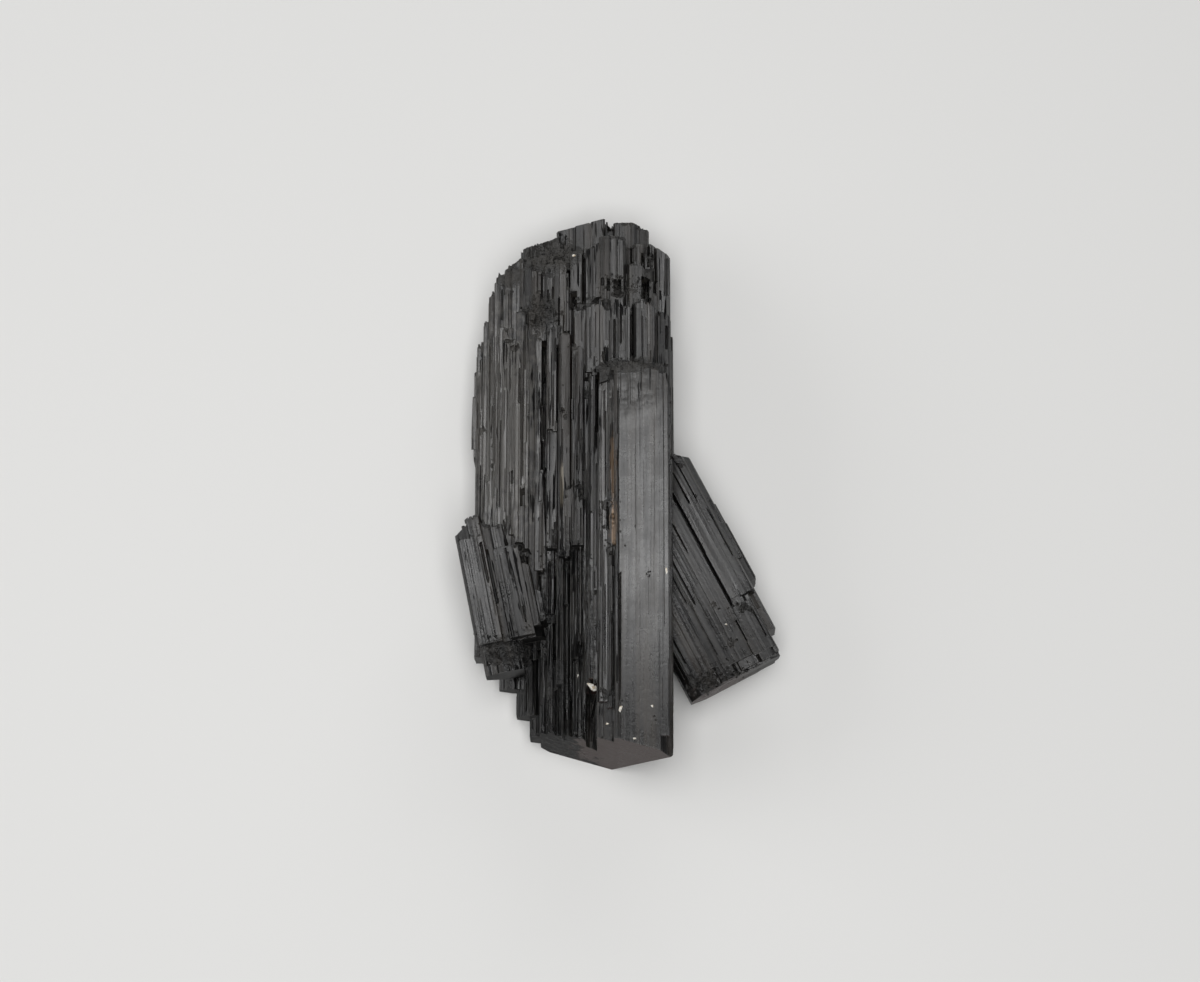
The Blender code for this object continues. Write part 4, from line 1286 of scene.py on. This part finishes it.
@dataclass(frozen=True)
class Grain:
    """A grain of another mineral that sits in a crack.

    Args:
        pixel: where it shows in the photograph.
        size: size across, along and out.
        turn: turn on the surface, in degrees.
        level: level of its middle, where it bridges a furrow instead of lying on the surface.
    """

    pixel: Pair
    size: Triple
    turn: float = 0.0
    level: Optional[float] = None


@dataclass
class Grains:
    """The pale grains, joined in one piece."""

    name: str
    material: bpy.types.Material
    grains: Sequence[Grain]
    seed: int

    CORNERS = 13

    def build(self, surface: Surface, lens: Lens) -> bpy.types.Object:
        """Set each grain on the surface where the photograph shows it.

        Args:
            surface: the body's surface.
            lens: the camera that the grains' pixels belong to.

        Returns:
            The grains' object.
        """
        rng = random.Random(self.seed)
        bm = bmesh.new()
        for grain in self.grains:
            ray = lens.ray(grain.pixel)
            found = surface.hit(lens.eye, ray)
            if grain.level is not None:
                found = lens.eye + ray * (grain.level - lens.eye.z) / ray.z, Vector((0.0, 0.0, 1.0))
            if found is None:
                LOG.warning("no surface under a grain at %s", grain.pixel)
                continue
            spot, normal = found
            stone = stone_hull(self.CORNERS, rng)
            turn = Matrix.Rotation(math.radians(grain.turn), 4, "Z")
            facing = normal.to_track_quat("Z", "Y").to_matrix().to_4x4()
            size = Matrix.Diagonal(grain.size).to_4x4()
            stone.transform(Matrix.Translation(spot) @ facing @ turn @ size)
            part = bpy.data.meshes.new("part")
            stone.to_mesh(part)
            stone.free()
            bm.from_mesh(part)
            bpy.data.meshes.remove(part)
        bm.transform(Matrix.Scale(MM, 4) @ Matrix.Translation(-BASE_MIDDLE))
        bmesh.ops.recalc_face_normals(bm, faces=bm.faces)
        mesh = bpy.data.meshes.new(self.name)
        bm.to_mesh(mesh)
        bm.free()
        mesh.materials.append(self.material)
        piece = bpy.data.objects.new(self.name, mesh)
        bpy.context.scene.collection.objects.link(piece)
        return piece


WHITE_GRAINS = (
    Grain((592.6, 686.8), (1.75, 0.85, 0.6), -38.0, 12.7),
    Grain((577.6, 676.0), (0.6, 0.45, 0.3), 30.0),
    Grain((666.5, 571.0), (0.3, 0.9, 0.15), 8.0),
    Grain((620.5, 708.5), (0.95, 0.42, 0.35), -20.0),
    Grain((652.0, 706.0), (0.35, 0.6, 0.3), 10.0),
    Grain((607.5, 724.0), (0.5, 0.4, 0.3)),
    Grain((634.5, 738.5), (0.5, 0.25, 0.2)),
    Grain((573.3, 255.5), (0.35, 0.7, 0.25)),
    Grain((631.5, 363.5), (1.1, 0.45, 0.4), 15.0, 16.3),
    Grain((726.0, 624.5), (0.4, 0.25, 0.2)),
)


class Nodes:
    """Short calls for building a shader tree."""

    def __init__(self, tree: bpy.types.NodeTree) -> None:
        """Keep the tree that nodes are added to."""
        self.tree = tree

    def new(self, kind: str, inputs: Optional[dict] = None, **settings: object) -> bpy.types.Node:
        """Add a node, set its properties, and fill or link its inputs.

        Args:
            kind: the node's type.
            inputs: a value or a socket for each input.
            settings: the node's properties.

        Returns:
            The node.
        """
        node = self.tree.nodes.new(kind)
        for key, value in settings.items():
            setattr(node, key, value)
        for key, value in (inputs or {}).items():
            if isinstance(value, bpy.types.NodeSocket):
                self.tree.links.new(value, node.inputs[key])
            else:
                node.inputs[key].default_value = value
        return node

    def math(self, operation: str, first: Feed, second: Feed = 0.0,
             clamp: bool = False) -> bpy.types.NodeSocket:
        """Combine two values."""
        node = self.new("ShaderNodeMath", {0: first, 1: second}, operation=operation, use_clamp=clamp)
        return node.outputs[0]

    def times(self, first: Feed, second: Feed) -> bpy.types.NodeSocket:
        """Multiply two values."""
        return self.math("MULTIPLY", first, second)

    def plus(self, first: Feed, second: Feed) -> bpy.types.NodeSocket:
        """Add two values."""
        return self.math("ADD", first, second)

    def most(self, first: Feed, second: Feed) -> bpy.types.NodeSocket:
        """Take the greater of two values."""
        return self.math("MAXIMUM", first, second)

    def noise(self, vector: Feed, scale: float, detail: float,
              rough: Feed = 0.5) -> bpy.types.NodeSocket:
        """A noise value.

        Args:
            vector: where it is read.
            scale: its scale.
            detail: how many octaves it has.
            rough: how strong the fine ones are.

        Returns:
            The noise, about 0.5 on average.
        """
        node = self.new("ShaderNodeTexNoise", {"Vector": vector, "Scale": scale, "Detail": detail,
                                               "Roughness": rough})
        return node.outputs["Fac"]

    def add_vectors(self, first: Feed, second: Feed) -> bpy.types.NodeSocket:
        """Add two vectors."""
        return self.new("ShaderNodeVectorMath", {0: first, 1: second}, operation="ADD").outputs[0]

    def bump(self, height: Feed, distance: float, normal: Feed,
             strength: float = 1.0) -> bpy.types.NodeSocket:
        """Bend a normal by a height.

        Args:
            height: the height.
            distance: how far a height of one stands out, in metres.
            normal: the normal that is bent.
            strength: the share that is taken.

        Returns:
            The bent normal.
        """
        node = self.new("ShaderNodeBump", {"Height": height, "Strength": strength, "Distance": distance,
                                           "Normal": normal})
        return node.outputs[0]

    def ramp(self, value: Feed, low: float, high: float, first: float = 0.0,
             last: float = 1.0) -> bpy.types.NodeSocket:
        """Map a value from one range to another, smoothly and clamped.

        Args:
            value: the value.
            low: where the change begins.
            high: where it ends.
            first: the result at its beginning.
            last: the result at its end.

        Returns:
            The mapped value.
        """
        node = self.new("ShaderNodeMapRange", {"Value": value, "From Min": low, "From Max": high,
                                               "To Min": first, "To Max": last},
                        interpolation_type="SMOOTHSTEP")
        return node.outputs["Result"]

    def mix(self, factor: Feed, first: Feed, second: Feed) -> bpy.types.NodeSocket:
        """Mix two colours.

        Args:
            factor: the second one's share.
            first: the first colour.
            second: the second colour.

        Returns:
            The mixed colour.
        """
        node = self.tree.nodes.new("ShaderNodeMix")
        node.data_type = "RGBA"
        ports = [socket for socket in node.inputs if socket.enabled]
        for socket, value in zip(ports, (factor, first, second)):
            if isinstance(value, bpy.types.NodeSocket):
                self.tree.links.new(value, socket)
            else:
                socket.default_value = value
        return next(socket for socket in node.outputs if socket.enabled)


def shader_group(name: str, inputs: Sequence[tuple], outputs: Sequence[tuple]) -> GroupParts:
    """Start a shader node group.

    Args:
        name: the group's name.
        inputs: label, kind and default of each input.
        outputs: label and kind of each output.

    Returns:
        The tree, the helper that adds its nodes, and its input and output nodes.
    """
    tree = bpy.data.node_groups.new(name, "ShaderNodeTree")
    kinds = {"value": "NodeSocketFloat", "vector": "NodeSocketVector", "color": "NodeSocketColor"}
    for label, kind, default in inputs:
        socket = tree.interface.new_socket(label, in_out="INPUT", socket_type=kinds[kind])
        socket.default_value = default
    for label, kind in outputs:
        tree.interface.new_socket(label, in_out="OUTPUT", socket_type=kinds[kind])
    nodes = Nodes(tree)
    return tree, nodes, nodes.new("NodeGroupInput"), nodes.new("NodeGroupOutput")


class SharedGroups:
    """Shader effects that the materials share."""

    def __init__(self) -> None:
        """Build the groups."""
        self.streaks = self.build_streaks()
        self.patch = self.build_patch()
        self.edge_wear_and_highlight = self.build_edge_wear_and_highlight()

    @staticmethod
    def build_streaks() -> bpy.types.NodeTree:
        """Noise drawn out along a crystal's axis, at one width in millimetres.

        Returns:
            The group.
        """
        tree, nodes, given, result = shader_group(
            "Axis Streaks",
            (("Vector", "vector", (0, 0, 0)), ("Width", "value", 0.3), ("Length", "value", 12.0),
             ("Roughness", "value", 0.5)),
            (("Value", "value"),))
        across = nodes.math("DIVIDE", 1.0, given.outputs["Width"])
        along = nodes.math("DIVIDE", 1.0, given.outputs["Length"])
        scale = nodes.new("ShaderNodeCombineXYZ", {"X": across, "Y": along, "Z": across})
        spread = nodes.new("ShaderNodeVectorMath", {0: given.outputs["Vector"], 1: scale.outputs[0]},
                           operation="MULTIPLY")
        noise = nodes.noise(spread.outputs[0], 1.0, 3.0, given.outputs["Roughness"])
        tree.links.new(noise, result.inputs["Value"])
        return tree

    @staticmethod
    def build_patch() -> bpy.types.NodeTree:
        """A soft, ragged patch around a place, in metres in the object's frame.

        Returns:
            The group.
        """
        tree, nodes, given, result = shader_group(
            "Ragged Patch",
            (("Vector", "vector", (0, 0, 0)), ("Middle", "vector", (0, 0, 0)),
             ("Spread", "vector", (1, 1, 1)), ("Ragged", "value", 0.5)),
            (("Mask", "value"),))
        away = nodes.new("ShaderNodeVectorMath", {0: given.outputs["Vector"], 1: given.outputs["Middle"]},
                         operation="SUBTRACT")
        shape = nodes.new("ShaderNodeVectorMath", {0: away.outputs[0], 1: given.outputs["Spread"]},
                          operation="DIVIDE")
        distance = nodes.new("ShaderNodeVectorMath", {0: shape.outputs[0]}, operation="LENGTH")
        noise = nodes.noise(given.outputs["Vector"], 900.0, 4.0, 0.7)
        offset = nodes.times(nodes.math("SUBTRACT", noise, 0.5), given.outputs["Ragged"])
        reach = nodes.plus(distance.outputs["Value"], nodes.times(offset, 3.0))
        tree.links.new(nodes.ramp(reach, 1.1, 0.6), result.inputs["Mask"])
        return tree

    @staticmethod
    def build_edge_wear_and_highlight() -> bpy.types.NodeTree:
        """How near an edge is, from the difference between rounded and true normals; it marks worn edges
        and painted edge highlights.

        Returns:
            The group.
        """
        tree, nodes, given, result = shader_group(
            "Edge Wear", (("Radius", "value", 0.0001), ("Gain", "value", 4.0)),
            (("Mask", "value"), ("Normal", "vector")))
        bevel = nodes.new("ShaderNodeBevel", {"Radius": given.outputs["Radius"]}, samples=4)
        true = nodes.new("ShaderNodeNewGeometry")
        match = nodes.new("ShaderNodeVectorMath", {0: bevel.outputs[0], 1: true.outputs["Normal"]},
                          operation="DOT_PRODUCT")
        bend = nodes.math("SUBTRACT", 1.0, match.outputs["Value"])
        mask = nodes.math("MULTIPLY", bend, given.outputs["Gain"], clamp=True)
        tree.links.new(mask, result.inputs["Mask"])
        tree.links.new(bevel.outputs[0], result.inputs["Normal"])
        return tree


@dataclass(frozen=True)
class TourmalineFinish:
    """Colours, gloss and relief of the black crystals."""

    black: tuple = (0.006, 0.0058, 0.0058, 1.0)
    # Near-black for painted shade: the shadowed stretches, the gaps between the fibres and the soles.
    pitch: tuple = (0.003, 0.003, 0.003, 1.0)
    brown: tuple = (0.018, 0.0148, 0.0118, 1.0)
    # Dust colour, also used for painted highlights on edges and painted glints.
    dust_and_highlight: tuple = (0.082, 0.077, 0.069, 1.0)
    # Brown of a painted reflection on part of the soles.
    foot: tuple = (0.026, 0.012, 0.0095, 1.0)
    rust: tuple = (0.26, 0.165, 0.092, 1.0)
    cream: tuple = (0.22, 0.19, 0.14, 1.0)
    satin: float = 0.29
    matte: float = 0.38
    refraction: float = 1.62
    sheen: float = 0.41
    foot_lean: float = 0.35
    gap_lean: float = 0.8
    bow_lean: float = 0.17

    # Middle, spread and share of each stretch of broken ground, dust, stain and satin surface.
    # Then where the broad face begins, across and up, how calm it is, and spans across or up
    # over which the foot, the bowed low end, the smooth right and the clean head set in.
    GROUND = (
        ((-6.2, 30.4, 10.0), (4.0, 3.0, 6.0), 0.26), ((-11.3, 27.4, 8.0), (2.0, 1.8, 6.0), 0.2),
        ((-7.4, 22.3, 12.0), (2.2, 2.6, 6.0), 0.04), ((2.9, 14.2, 16.0), (3.8, 1.2, 2.5), 0.2),
        ((-11.9, -20.6, 8.0), (3.6, 2.0, 8.0), 0.02), ((-5.2, -24.8, 12.0), (1.5, 3.6, 5.0), 0.02),
        ((12.4, -24.4, 8.0), (2.4, 1.6, 6.0), 0.0), ((-6.6, -34.0, 8.0), (5.6, 3.2, 12.0), 0.0),
    )
    DUSTY = (((-12.0, 8.0, 9.0), (5.6, 17.0, 9.0), 0.5), ((3.4, 10.0, 16.5), (4.4, 4.6, 3.0), 0.12),
             ((-1.0, 24.0, 12.0), (9.0, 9.0, 9.0), 0.1))
    SWOLLEN = ((3.4, 10.6, 16.6), (4.6, 4.2, 3.0))
    STAINS = (((1.75, -5.6, 16.0), (0.8, 2.7, 2.0), 0.75), ((1.6, 0.8, 16.0), (0.5, 5.2, 2.0), 0.35))
    PALE = ((-4.7, -0.2, 13.9), (0.3, 2.9, 1.4))
    SATIN_FROM = (2.5, 14.0)
    CALM = 0.35
    SATIN = (((-12.5, 8.0, 8.0), (5.8, 16.0, 9.0), 1.0), ((-14.5, -12.0, 13.0), (5.0, 9.5, 7.0), 0.7),
             ((13.5, -12.0, 8.0), (8.0, 16.0, 8.0), 0.5), ((1.0, -9.0, 15.5), (1.7, 26.0, 2.4), 0.9))
    # Stretches where shade is painted: the low middle of the main crystal, and its flank in the shadow of
    # the small crystal.
    PAINTED_SHADE_ZONES = (((-4.0, -21.0, 13.0), (3.7, 15.5, 9.0)), ((-8.8, -25.0, 8.0), (3.6, 8.5, 9.0)))
    # Soles below this level are painted in shade; across from FOOT_FROM they carry the painted brown
    # reflection instead.
    FOOT_BELOW = -24.0
    FOOT_FROM = (-2.2, -0.6)
    BOWED = (-7.0, -34.0)
    SMOOTH_FROM = (8.5, 8.9)
    CLEAN_FROM = (17.0, 23.0)


class TourmalineShader:
    """Builds the black crystals' material from their finish, one quantity at a time."""

    def __init__(self, finish: TourmalineFinish, groups: SharedGroups) -> None:
        """Start the material, with the inputs that its parts share.

        Args:
            finish: colours, gloss and relief.
            groups: the shared effects.
        """
        self.finish = finish
        self.groups = groups
        self.material = bpy.data.materials.new("black_tourmaline")
        self.material.use_nodes = True
        self.tree = self.material.node_tree
        self.nodes = Nodes(self.tree)
        self.shader = self.tree.nodes["Principled BSDF"]
        self.place = self.nodes.new("ShaderNodeTexCoord").outputs["Object"]
        split = self.nodes.new("ShaderNodeSeparateXYZ", {0: self.place})
        self.across, self.up = split.outputs["X"], split.outputs["Y"]
        self.grain, self.tilt = (self.read(name, "Vector") for name in ("grain", "tilt"))
        self.broken, self.end = (self.read(name, "Fac") for name in ("fracture", "end"))
        self.wall = self.nodes.ramp(self.end, 0.0, 1.0, 1.0, 0.0)
        self.medium = self.streak(0.42, 18.0, 0.45)
        self.cloud = self.nodes.noise(self.place, 260.0, 5.0, 0.65)
        self.speckle = self.nodes.noise(self.place, 2600.0, 3.0, 0.7)
        self.edge_wear_and_highlight = self.nodes.new("ShaderNodeGroup", node_tree=groups.edge_wear_and_highlight)

    def read(self, name: str, output: str) -> bpy.types.NodeSocket:
        """Read one of the mesh's attributes."""
        return self.nodes.new("ShaderNodeAttribute", attribute_name=name).outputs[output]

    def streak(self, width: float, length: float, rough: float) -> bpy.types.NodeSocket:
        """Noise drawn out along the crystals, in millimetres.

        Args:
            width: how wide a streak is.
            length: how long a streak is.
            rough: how strong the fine octaves are.

        Returns:
            The noise.
        """
        node = self.nodes.new("ShaderNodeGroup", node_tree=self.groups.streaks)
        self.tree.links.new(self.grain, node.inputs["Vector"])
        node.inputs["Width"].default_value = width
        node.inputs["Length"].default_value = length
        node.inputs["Roughness"].default_value = rough
        return node.outputs["Value"]

    def patch(self, middle: Triple, spread: Triple, ragged: float) -> bpy.types.NodeSocket:
        """A soft patch around a place in the specimen's own frame, in millimetres.

        Args:
            middle: the patch's middle.
            spread: half its size on each axis.
            ragged: how ragged its edge is.

        Returns:
            The patch's mask.
        """
        node = self.nodes.new("ShaderNodeGroup", node_tree=self.groups.patch)
        self.tree.links.new(self.place, node.inputs["Vector"])
        node.inputs["Middle"].default_value = (Vector(middle) - BASE_MIDDLE) * MM
        node.inputs["Spread"].default_value = Vector(spread) * MM
        node.inputs["Ragged"].default_value = ragged
        return node.outputs["Mask"]

    def beyond_x(self, span: Pair, last: float = 1.0,
                 value: Optional[Feed] = None) -> bpy.types.NodeSocket:
        """Rise from 0 to a last value over a span across, in millimetres."""
        bounds = ((bound - BASE_MIDDLE.x) * MM for bound in span)
        return self.nodes.ramp(self.across if value is None else value, *bounds, 0.0, last)

    def beyond_y(self, span: Pair, last: float = 1.0) -> bpy.types.NodeSocket:
        """Rise from 0 to a last value over a span up, in millimetres."""
        bounds = ((bound - BASE_MIDDLE.y) * MM for bound in span)
        return self.nodes.ramp(self.up, *bounds, 0.0, last)

    def find_ground(self) -> None:
        """Find where the ground is broken, and where powder lies."""
        nodes = self.nodes
        self.ground = self.broken
        self.powder = nodes.times(self.broken, 0.08)
        for middle, spread, share in self.finish.DUSTY:
            self.powder = nodes.most(self.powder, nodes.times(self.patch(middle, spread, 0.9), share))
        for middle, spread, share in self.finish.GROUND:
            zone = self.patch(middle, spread, 0.3)
            self.ground = nodes.most(self.ground, zone)
            self.powder = nodes.most(self.powder, nodes.times(zone, share))

    def find_gloss(self) -> None:
        """Find the satin and the clean stretches, and the stretches where shade is painted."""
        nodes, finish = self.nodes, self.finish
        left, head = finish.SATIN_FROM
        self.glossy = nodes.times(self.beyond_x((left - 0.6, left)), self.beyond_y((head, head - 12.0)))
        self.calm = nodes.ramp(self.glossy, 0.0, 1.0, 1.0, finish.CALM)
        self.clean = self.beyond_y(finish.CLEAN_FROM)
        for middle, spread, share in finish.SATIN:
            zone = nodes.times(self.patch(middle, spread, 0.5), share)
            self.glossy = nodes.most(self.glossy, zone)
            self.clean = nodes.most(self.clean, zone)
        # Painted shade: these stretches go near-black, and their gaps crowd.
        self.dark = nodes.most(*(self.patch(middle, spread, 0.3) for middle, spread in finish.PAINTED_SHADE_ZONES))

    def find_gaps(self) -> None:
        """Find the gaps between the fibres, painted as shade with normals leant aside.

        They are sparse on the columns, close together in the stretches painted in shade, and few
        on the broad face and on the crystal that leans out.
        """
        nodes = self.nodes
        smooth = nodes.plus(self.beyond_x(self.finish.SMOOTH_FROM, 0.1),
                            nodes.ramp(self.calm, 1.0, self.finish.CALM, 0.0, 0.4))
        drift = nodes.noise(self.place, 210.0, 1.0)
        crowd = nodes.plus(nodes.times(self.dark, 0.17), nodes.ramp(drift, 0.35, 0.7, -0.13, 0.04))
        crowd = nodes.math("SUBTRACT", crowd, nodes.plus(smooth, nodes.times(self.clean, 0.045)))
        narrow = nodes.ramp(nodes.plus(self.streak(0.26, 6.0, 0.5), crowd), 0.57, 0.62)
        wide = nodes.ramp(nodes.plus(self.streak(0.5, 9.0, 0.45), crowd), 0.6, 0.63)
        self.gaps = nodes.times(nodes.most(narrow, wide), self.wall)
        self.painted_shade_mask = nodes.most(self.dark, self.gaps)

    def find_foot(self) -> None:
        """Find the crystals' soles, painted in shade, and the part of them with a painted brown reflection.
        """
        nodes = self.nodes
        low = self.finish.FOOT_BELOW
        self.sole = nodes.times(self.end, self.beyond_y((low + 2.0, low)))
        border = nodes.plus(self.across, nodes.ramp(self.cloud, 0.3, 0.7, -0.0022, 0.0022))
        self.brown_reflection_mask = self.beyond_x(self.finish.FOOT_FROM, value=border)

    def paint(self) -> None:
        """Mix the base colour, with painted shade, a painted brown reflection and painted highlights in it.
        """
        nodes, finish = self.nodes, self.finish
        brownish = nodes.ramp(self.streak(1.6, 30.0, 0.55), 0.45, 0.7)
        colour = nodes.mix(brownish, finish.black, finish.brown)
        # Painted shade: the shadowed stretches and the gaps between fibres go near-black, and so do the
        # soles; part of the soles gets a painted brown reflection.
        colour = nodes.mix(self.painted_shade_mask, colour, finish.pitch)
        colour = nodes.mix(self.sole, colour, finish.pitch)
        colour = nodes.mix(nodes.times(self.sole, self.brown_reflection_mask), colour, finish.foot)

        dusty = nodes.times(nodes.ramp(self.cloud, 0.42, 0.7), nodes.ramp(self.speckle, 0.42, 0.7))
        dusty = nodes.plus(nodes.times(dusty, 0.2), self.powder)
        dusty = nodes.times(dusty, nodes.ramp(self.painted_shade_mask, 0.0, 1.0, 1.0, 0.2))
        colour = nodes.mix(dusty, colour, finish.dust_and_highlight)
        for middle, spread, share in finish.STAINS:
            stain = nodes.times(self.patch(middle, spread, 0.6), nodes.ramp(self.medium, 0.38, 0.6))
            colour = nodes.mix(nodes.times(stain, share), colour, finish.rust)
        colour = nodes.mix(nodes.times(self.patch(*finish.PALE, 0.35), 0.55), colour, finish.cream)

        # Painted highlights: edges, partly worn and partly catching light, and sparse painted glints are
        # lightened with the dust colour.
        self.edge = nodes.times(self.edge_wear_and_highlight.outputs["Mask"], nodes.ramp(self.cloud, 0.4, 0.62))
        painted_glints = nodes.times(nodes.ramp(self.speckle, 0.64, 0.7), nodes.ramp(self.cloud, 0.46, 0.6))
        wear_and_painted_highlights = nodes.most(nodes.times(self.edge, 0.8), nodes.times(painted_glints, 0.6))
        colour = nodes.mix(wear_and_painted_highlights, colour, finish.dust_and_highlight)
        self.tree.links.new(colour, self.shader.inputs["Base Color"])

    def polish(self) -> None:
        """Set the roughness and the gloss."""
        nodes, finish = self.nodes, self.finish
        rough = nodes.ramp(self.glossy, 0.0, 1.0, finish.matte, finish.satin)
        rough = nodes.plus(rough, nodes.ramp(self.medium, 0.2, 0.8, -0.05, 0.05))
        rough = nodes.plus(rough, nodes.ramp(self.cloud, 0.35, 0.7, -0.04, 0.08))
        rough = nodes.plus(rough, nodes.times(self.edge, 0.1))
        rough = nodes.math("SUBTRACT", rough, nodes.times(self.dark, 0.05))
        rough = nodes.math("ADD", rough, nodes.times(self.ground, 0.22), clamp=True)
        self.tree.links.new(rough, self.shader.inputs["Roughness"])
        self.shader.inputs["IOR"].default_value = finish.refraction
        self.shader.inputs["Specular IOR Level"].default_value = finish.sheen

    def lean(self) -> bpy.types.NodeSocket:
        """Lean the normals of the facets, the gaps and the foot.

        Returns:
            The leant normal.
        """
        nodes, finish = self.nodes, self.finish
        bow = nodes.times(self.beyond_y(finish.BOWED, finish.bow_lean), self.wall)
        foot = nodes.times(self.sole, nodes.ramp(self.brown_reflection_mask, 0.0, 1.0, finish.foot_lean, 0.0))
        gap = nodes.times(self.gaps, finish.gap_lean)
        sunk = nodes.new("ShaderNodeCombineXYZ", {"X": gap, "Y": bow, "Z": foot})
        leant = nodes.add_vectors(self.tilt, sunk.outputs[0])
        leant = nodes.add_vectors(self.edge_wear_and_highlight.outputs["Normal"], leant)
        return nodes.new("ShaderNodeVectorMath", {0: leant}, operation="NORMALIZE").outputs[0]

    def relieve(self) -> None:
        """Give the surface its striation, its swollen stretch, its lumps and its grain."""
        nodes = self.nodes
        height = nodes.plus(nodes.times(self.streak(1.0, 40.0, 0.4), 0.16), nodes.times(self.medium, 0.1))
        height = nodes.plus(height, nodes.times(self.streak(0.13, 7.0, 0.5), 0.028))
        height = nodes.times(height, nodes.times(self.calm, nodes.ramp(self.end, 0.0, 1.0, 1.0, 0.1)))
        height = nodes.times(height, nodes.ramp(self.dark, 0.0, 1.0, 1.0, 2.0))
        waves = nodes.times(nodes.noise(self.place, 520.0, 2.0), self.patch(*self.finish.SWOLLEN, 0.0))
        lumps = nodes.times(nodes.noise(self.place, 1500.0, 5.0, 0.6), self.ground)
        normal = nodes.bump(height, MM, self.lean())
        normal = nodes.bump(waves, 0.00016, normal)
        normal = nodes.bump(lumps, 0.0003, normal)
        normal = nodes.bump(self.speckle, 0.00002, normal, 0.8)
        self.tree.links.new(normal, self.shader.inputs["Normal"])

    def build(self) -> bpy.types.Material:
        """Build the material.

        Returns:
            The material.
        """
        for step in (self.find_ground, self.find_gloss, self.find_gaps, self.find_foot,
                     self.paint, self.polish, self.relieve):
            step()
        self.material.diffuse_color = self.finish.black
        return self.material


@dataclass(frozen=True)
class GrainFinish:
    """Pale mineral, tan in places, with patchy gloss and a fine bump."""

    pale: tuple = (0.78, 0.76, 0.7, 1.0)
    tan: tuple = (0.45, 0.36, 0.24, 1.0)

    def build(self) -> bpy.types.Material:
        """Build the material.

        Returns:
            The material.
        """
        material = bpy.data.materials.new("pale_mineral")
        material.use_nodes = True
        tree = material.node_tree
        nodes = Nodes(tree)
        shader = tree.nodes["Principled BSDF"]
        place = nodes.new("ShaderNodeTexCoord").outputs["Object"]
        cloud = nodes.noise(place, 3200.0, 4.0)
        tree.links.new(nodes.mix(nodes.ramp(cloud, 0.42, 0.7), self.pale, self.tan),
                       shader.inputs["Base Color"])
        tree.links.new(nodes.ramp(cloud, 0.3, 0.7, 0.25, 0.6), shader.inputs["Roughness"])
        bump = nodes.new("ShaderNodeBump", {"Height": cloud, "Strength": 0.6, "Distance": 0.00004})
        tree.links.new(bump.outputs[0], shader.inputs["Normal"])
        return material


@dataclass(frozen=True)
class Softbox:
    """A soft studio light, placed in millimetres from the aim point."""

    name: str
    offset: Triple
    size: Pair
    power: float

    def build(self) -> None:
        """Make the light and turn it to the specimen."""
        data = bpy.data.lights.new(self.name, "AREA")
        data.shape = "RECTANGLE"
        data.size, data.size_y = (side * MM for side in self.size)
        data.energy = self.power
        light = bpy.data.objects.new(self.name, data)
        light.location = (AIM_POINT - BASE_MIDDLE + Vector(self.offset)) * MM
        light.rotation_euler = (-Vector(self.offset)).to_track_quat("-Z", "Y").to_euler()
        bpy.context.scene.collection.objects.link(light)


@dataclass(frozen=True)
class Studio:
    """The floor, the surrounding light and the softboxes."""

    floor: tuple = (0.71, 0.707, 0.695, 1.0)
    sky: tuple = (0.92, 0.93, 0.94, 1.0)
    sky_strength: float = 0.1
    softboxes: Sequence[Softbox] = (
        Softbox("key_light", (0.0, -85.0, 520.0), (290.0, 440.0), 2.55),
        Softbox("side_light", (-480.0, 60.0, 230.0), (420.0, 300.0), 0.8),
        Softbox("far_light", (120.0, 520.0, 260.0), (520.0, 260.0), 0.7),
    )

    def build(self) -> None:
        """Make the studio."""
        mesh = bpy.data.meshes.new("floor")
        reach = 1.6
        mesh.from_pydata([(-reach, -reach, 0), (reach, -reach, 0), (reach, reach, 0), (-reach, reach, 0)],
                         [], [(0, 1, 2, 3)])
        floor = bpy.data.objects.new("floor", mesh)
        bpy.context.scene.collection.objects.link(floor)
        material = bpy.data.materials.new("studio_floor")
        material.use_nodes = True
        shader = material.node_tree.nodes["Principled BSDF"]
        shader.inputs["Base Color"].default_value = self.floor
        shader.inputs["Roughness"].default_value = 0.9
        mesh.materials.append(material)
        floor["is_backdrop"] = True

        world = bpy.data.worlds.new("studio")
        bpy.context.scene.world = world
        world.use_nodes = True
        background = world.node_tree.nodes["Background"]
        background.inputs["Color"].default_value = self.sky
        background.inputs["Strength"].default_value = self.sky_strength
        for softbox in self.softboxes:
            softbox.build()
        bpy.context.scene.view_settings.view_transform = "Standard"


def main() -> None:
    """Build the dressed specimen, the studio and the camera."""
    logging.basicConfig(level=logging.INFO, format="%(name)s: %(message)s")
    packed_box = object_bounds()
    black = TourmalineShader(TourmalineFinish(), SharedGroups()).build()
    lens = Lens()

    specimen = Specimen(Carver(black), ShapeShelf(random.Random(5)), lens)
    body = specimen.build()
    surface_mesh = body.data.copy()
    surface_mesh.transform(Matrix.Translation(BASE_MIDDLE) @ Matrix.Scale(1.0 / MM, 4))
    surface = Surface(surface_mesh)
    bpy.data.meshes.remove(surface_mesh)
    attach(body, BODY)
    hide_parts(NODE)

    grains = Grains("pale_grains", GrainFinish().build(), WHITE_GRAINS, 3).build(surface, lens)
    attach(grains, BODY)
    LOG.info("pieces: %s", ", ".join((body.name, grains.name)))

    Studio().build()
    lens.place_camera()
    boxes = {"packed": packed_box, "visual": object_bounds()}
    plain = {name: [[round(value, 6) for value in corner] for corner in box] for name, box in boxes.items()}


if __name__ == "__main__":
    main()
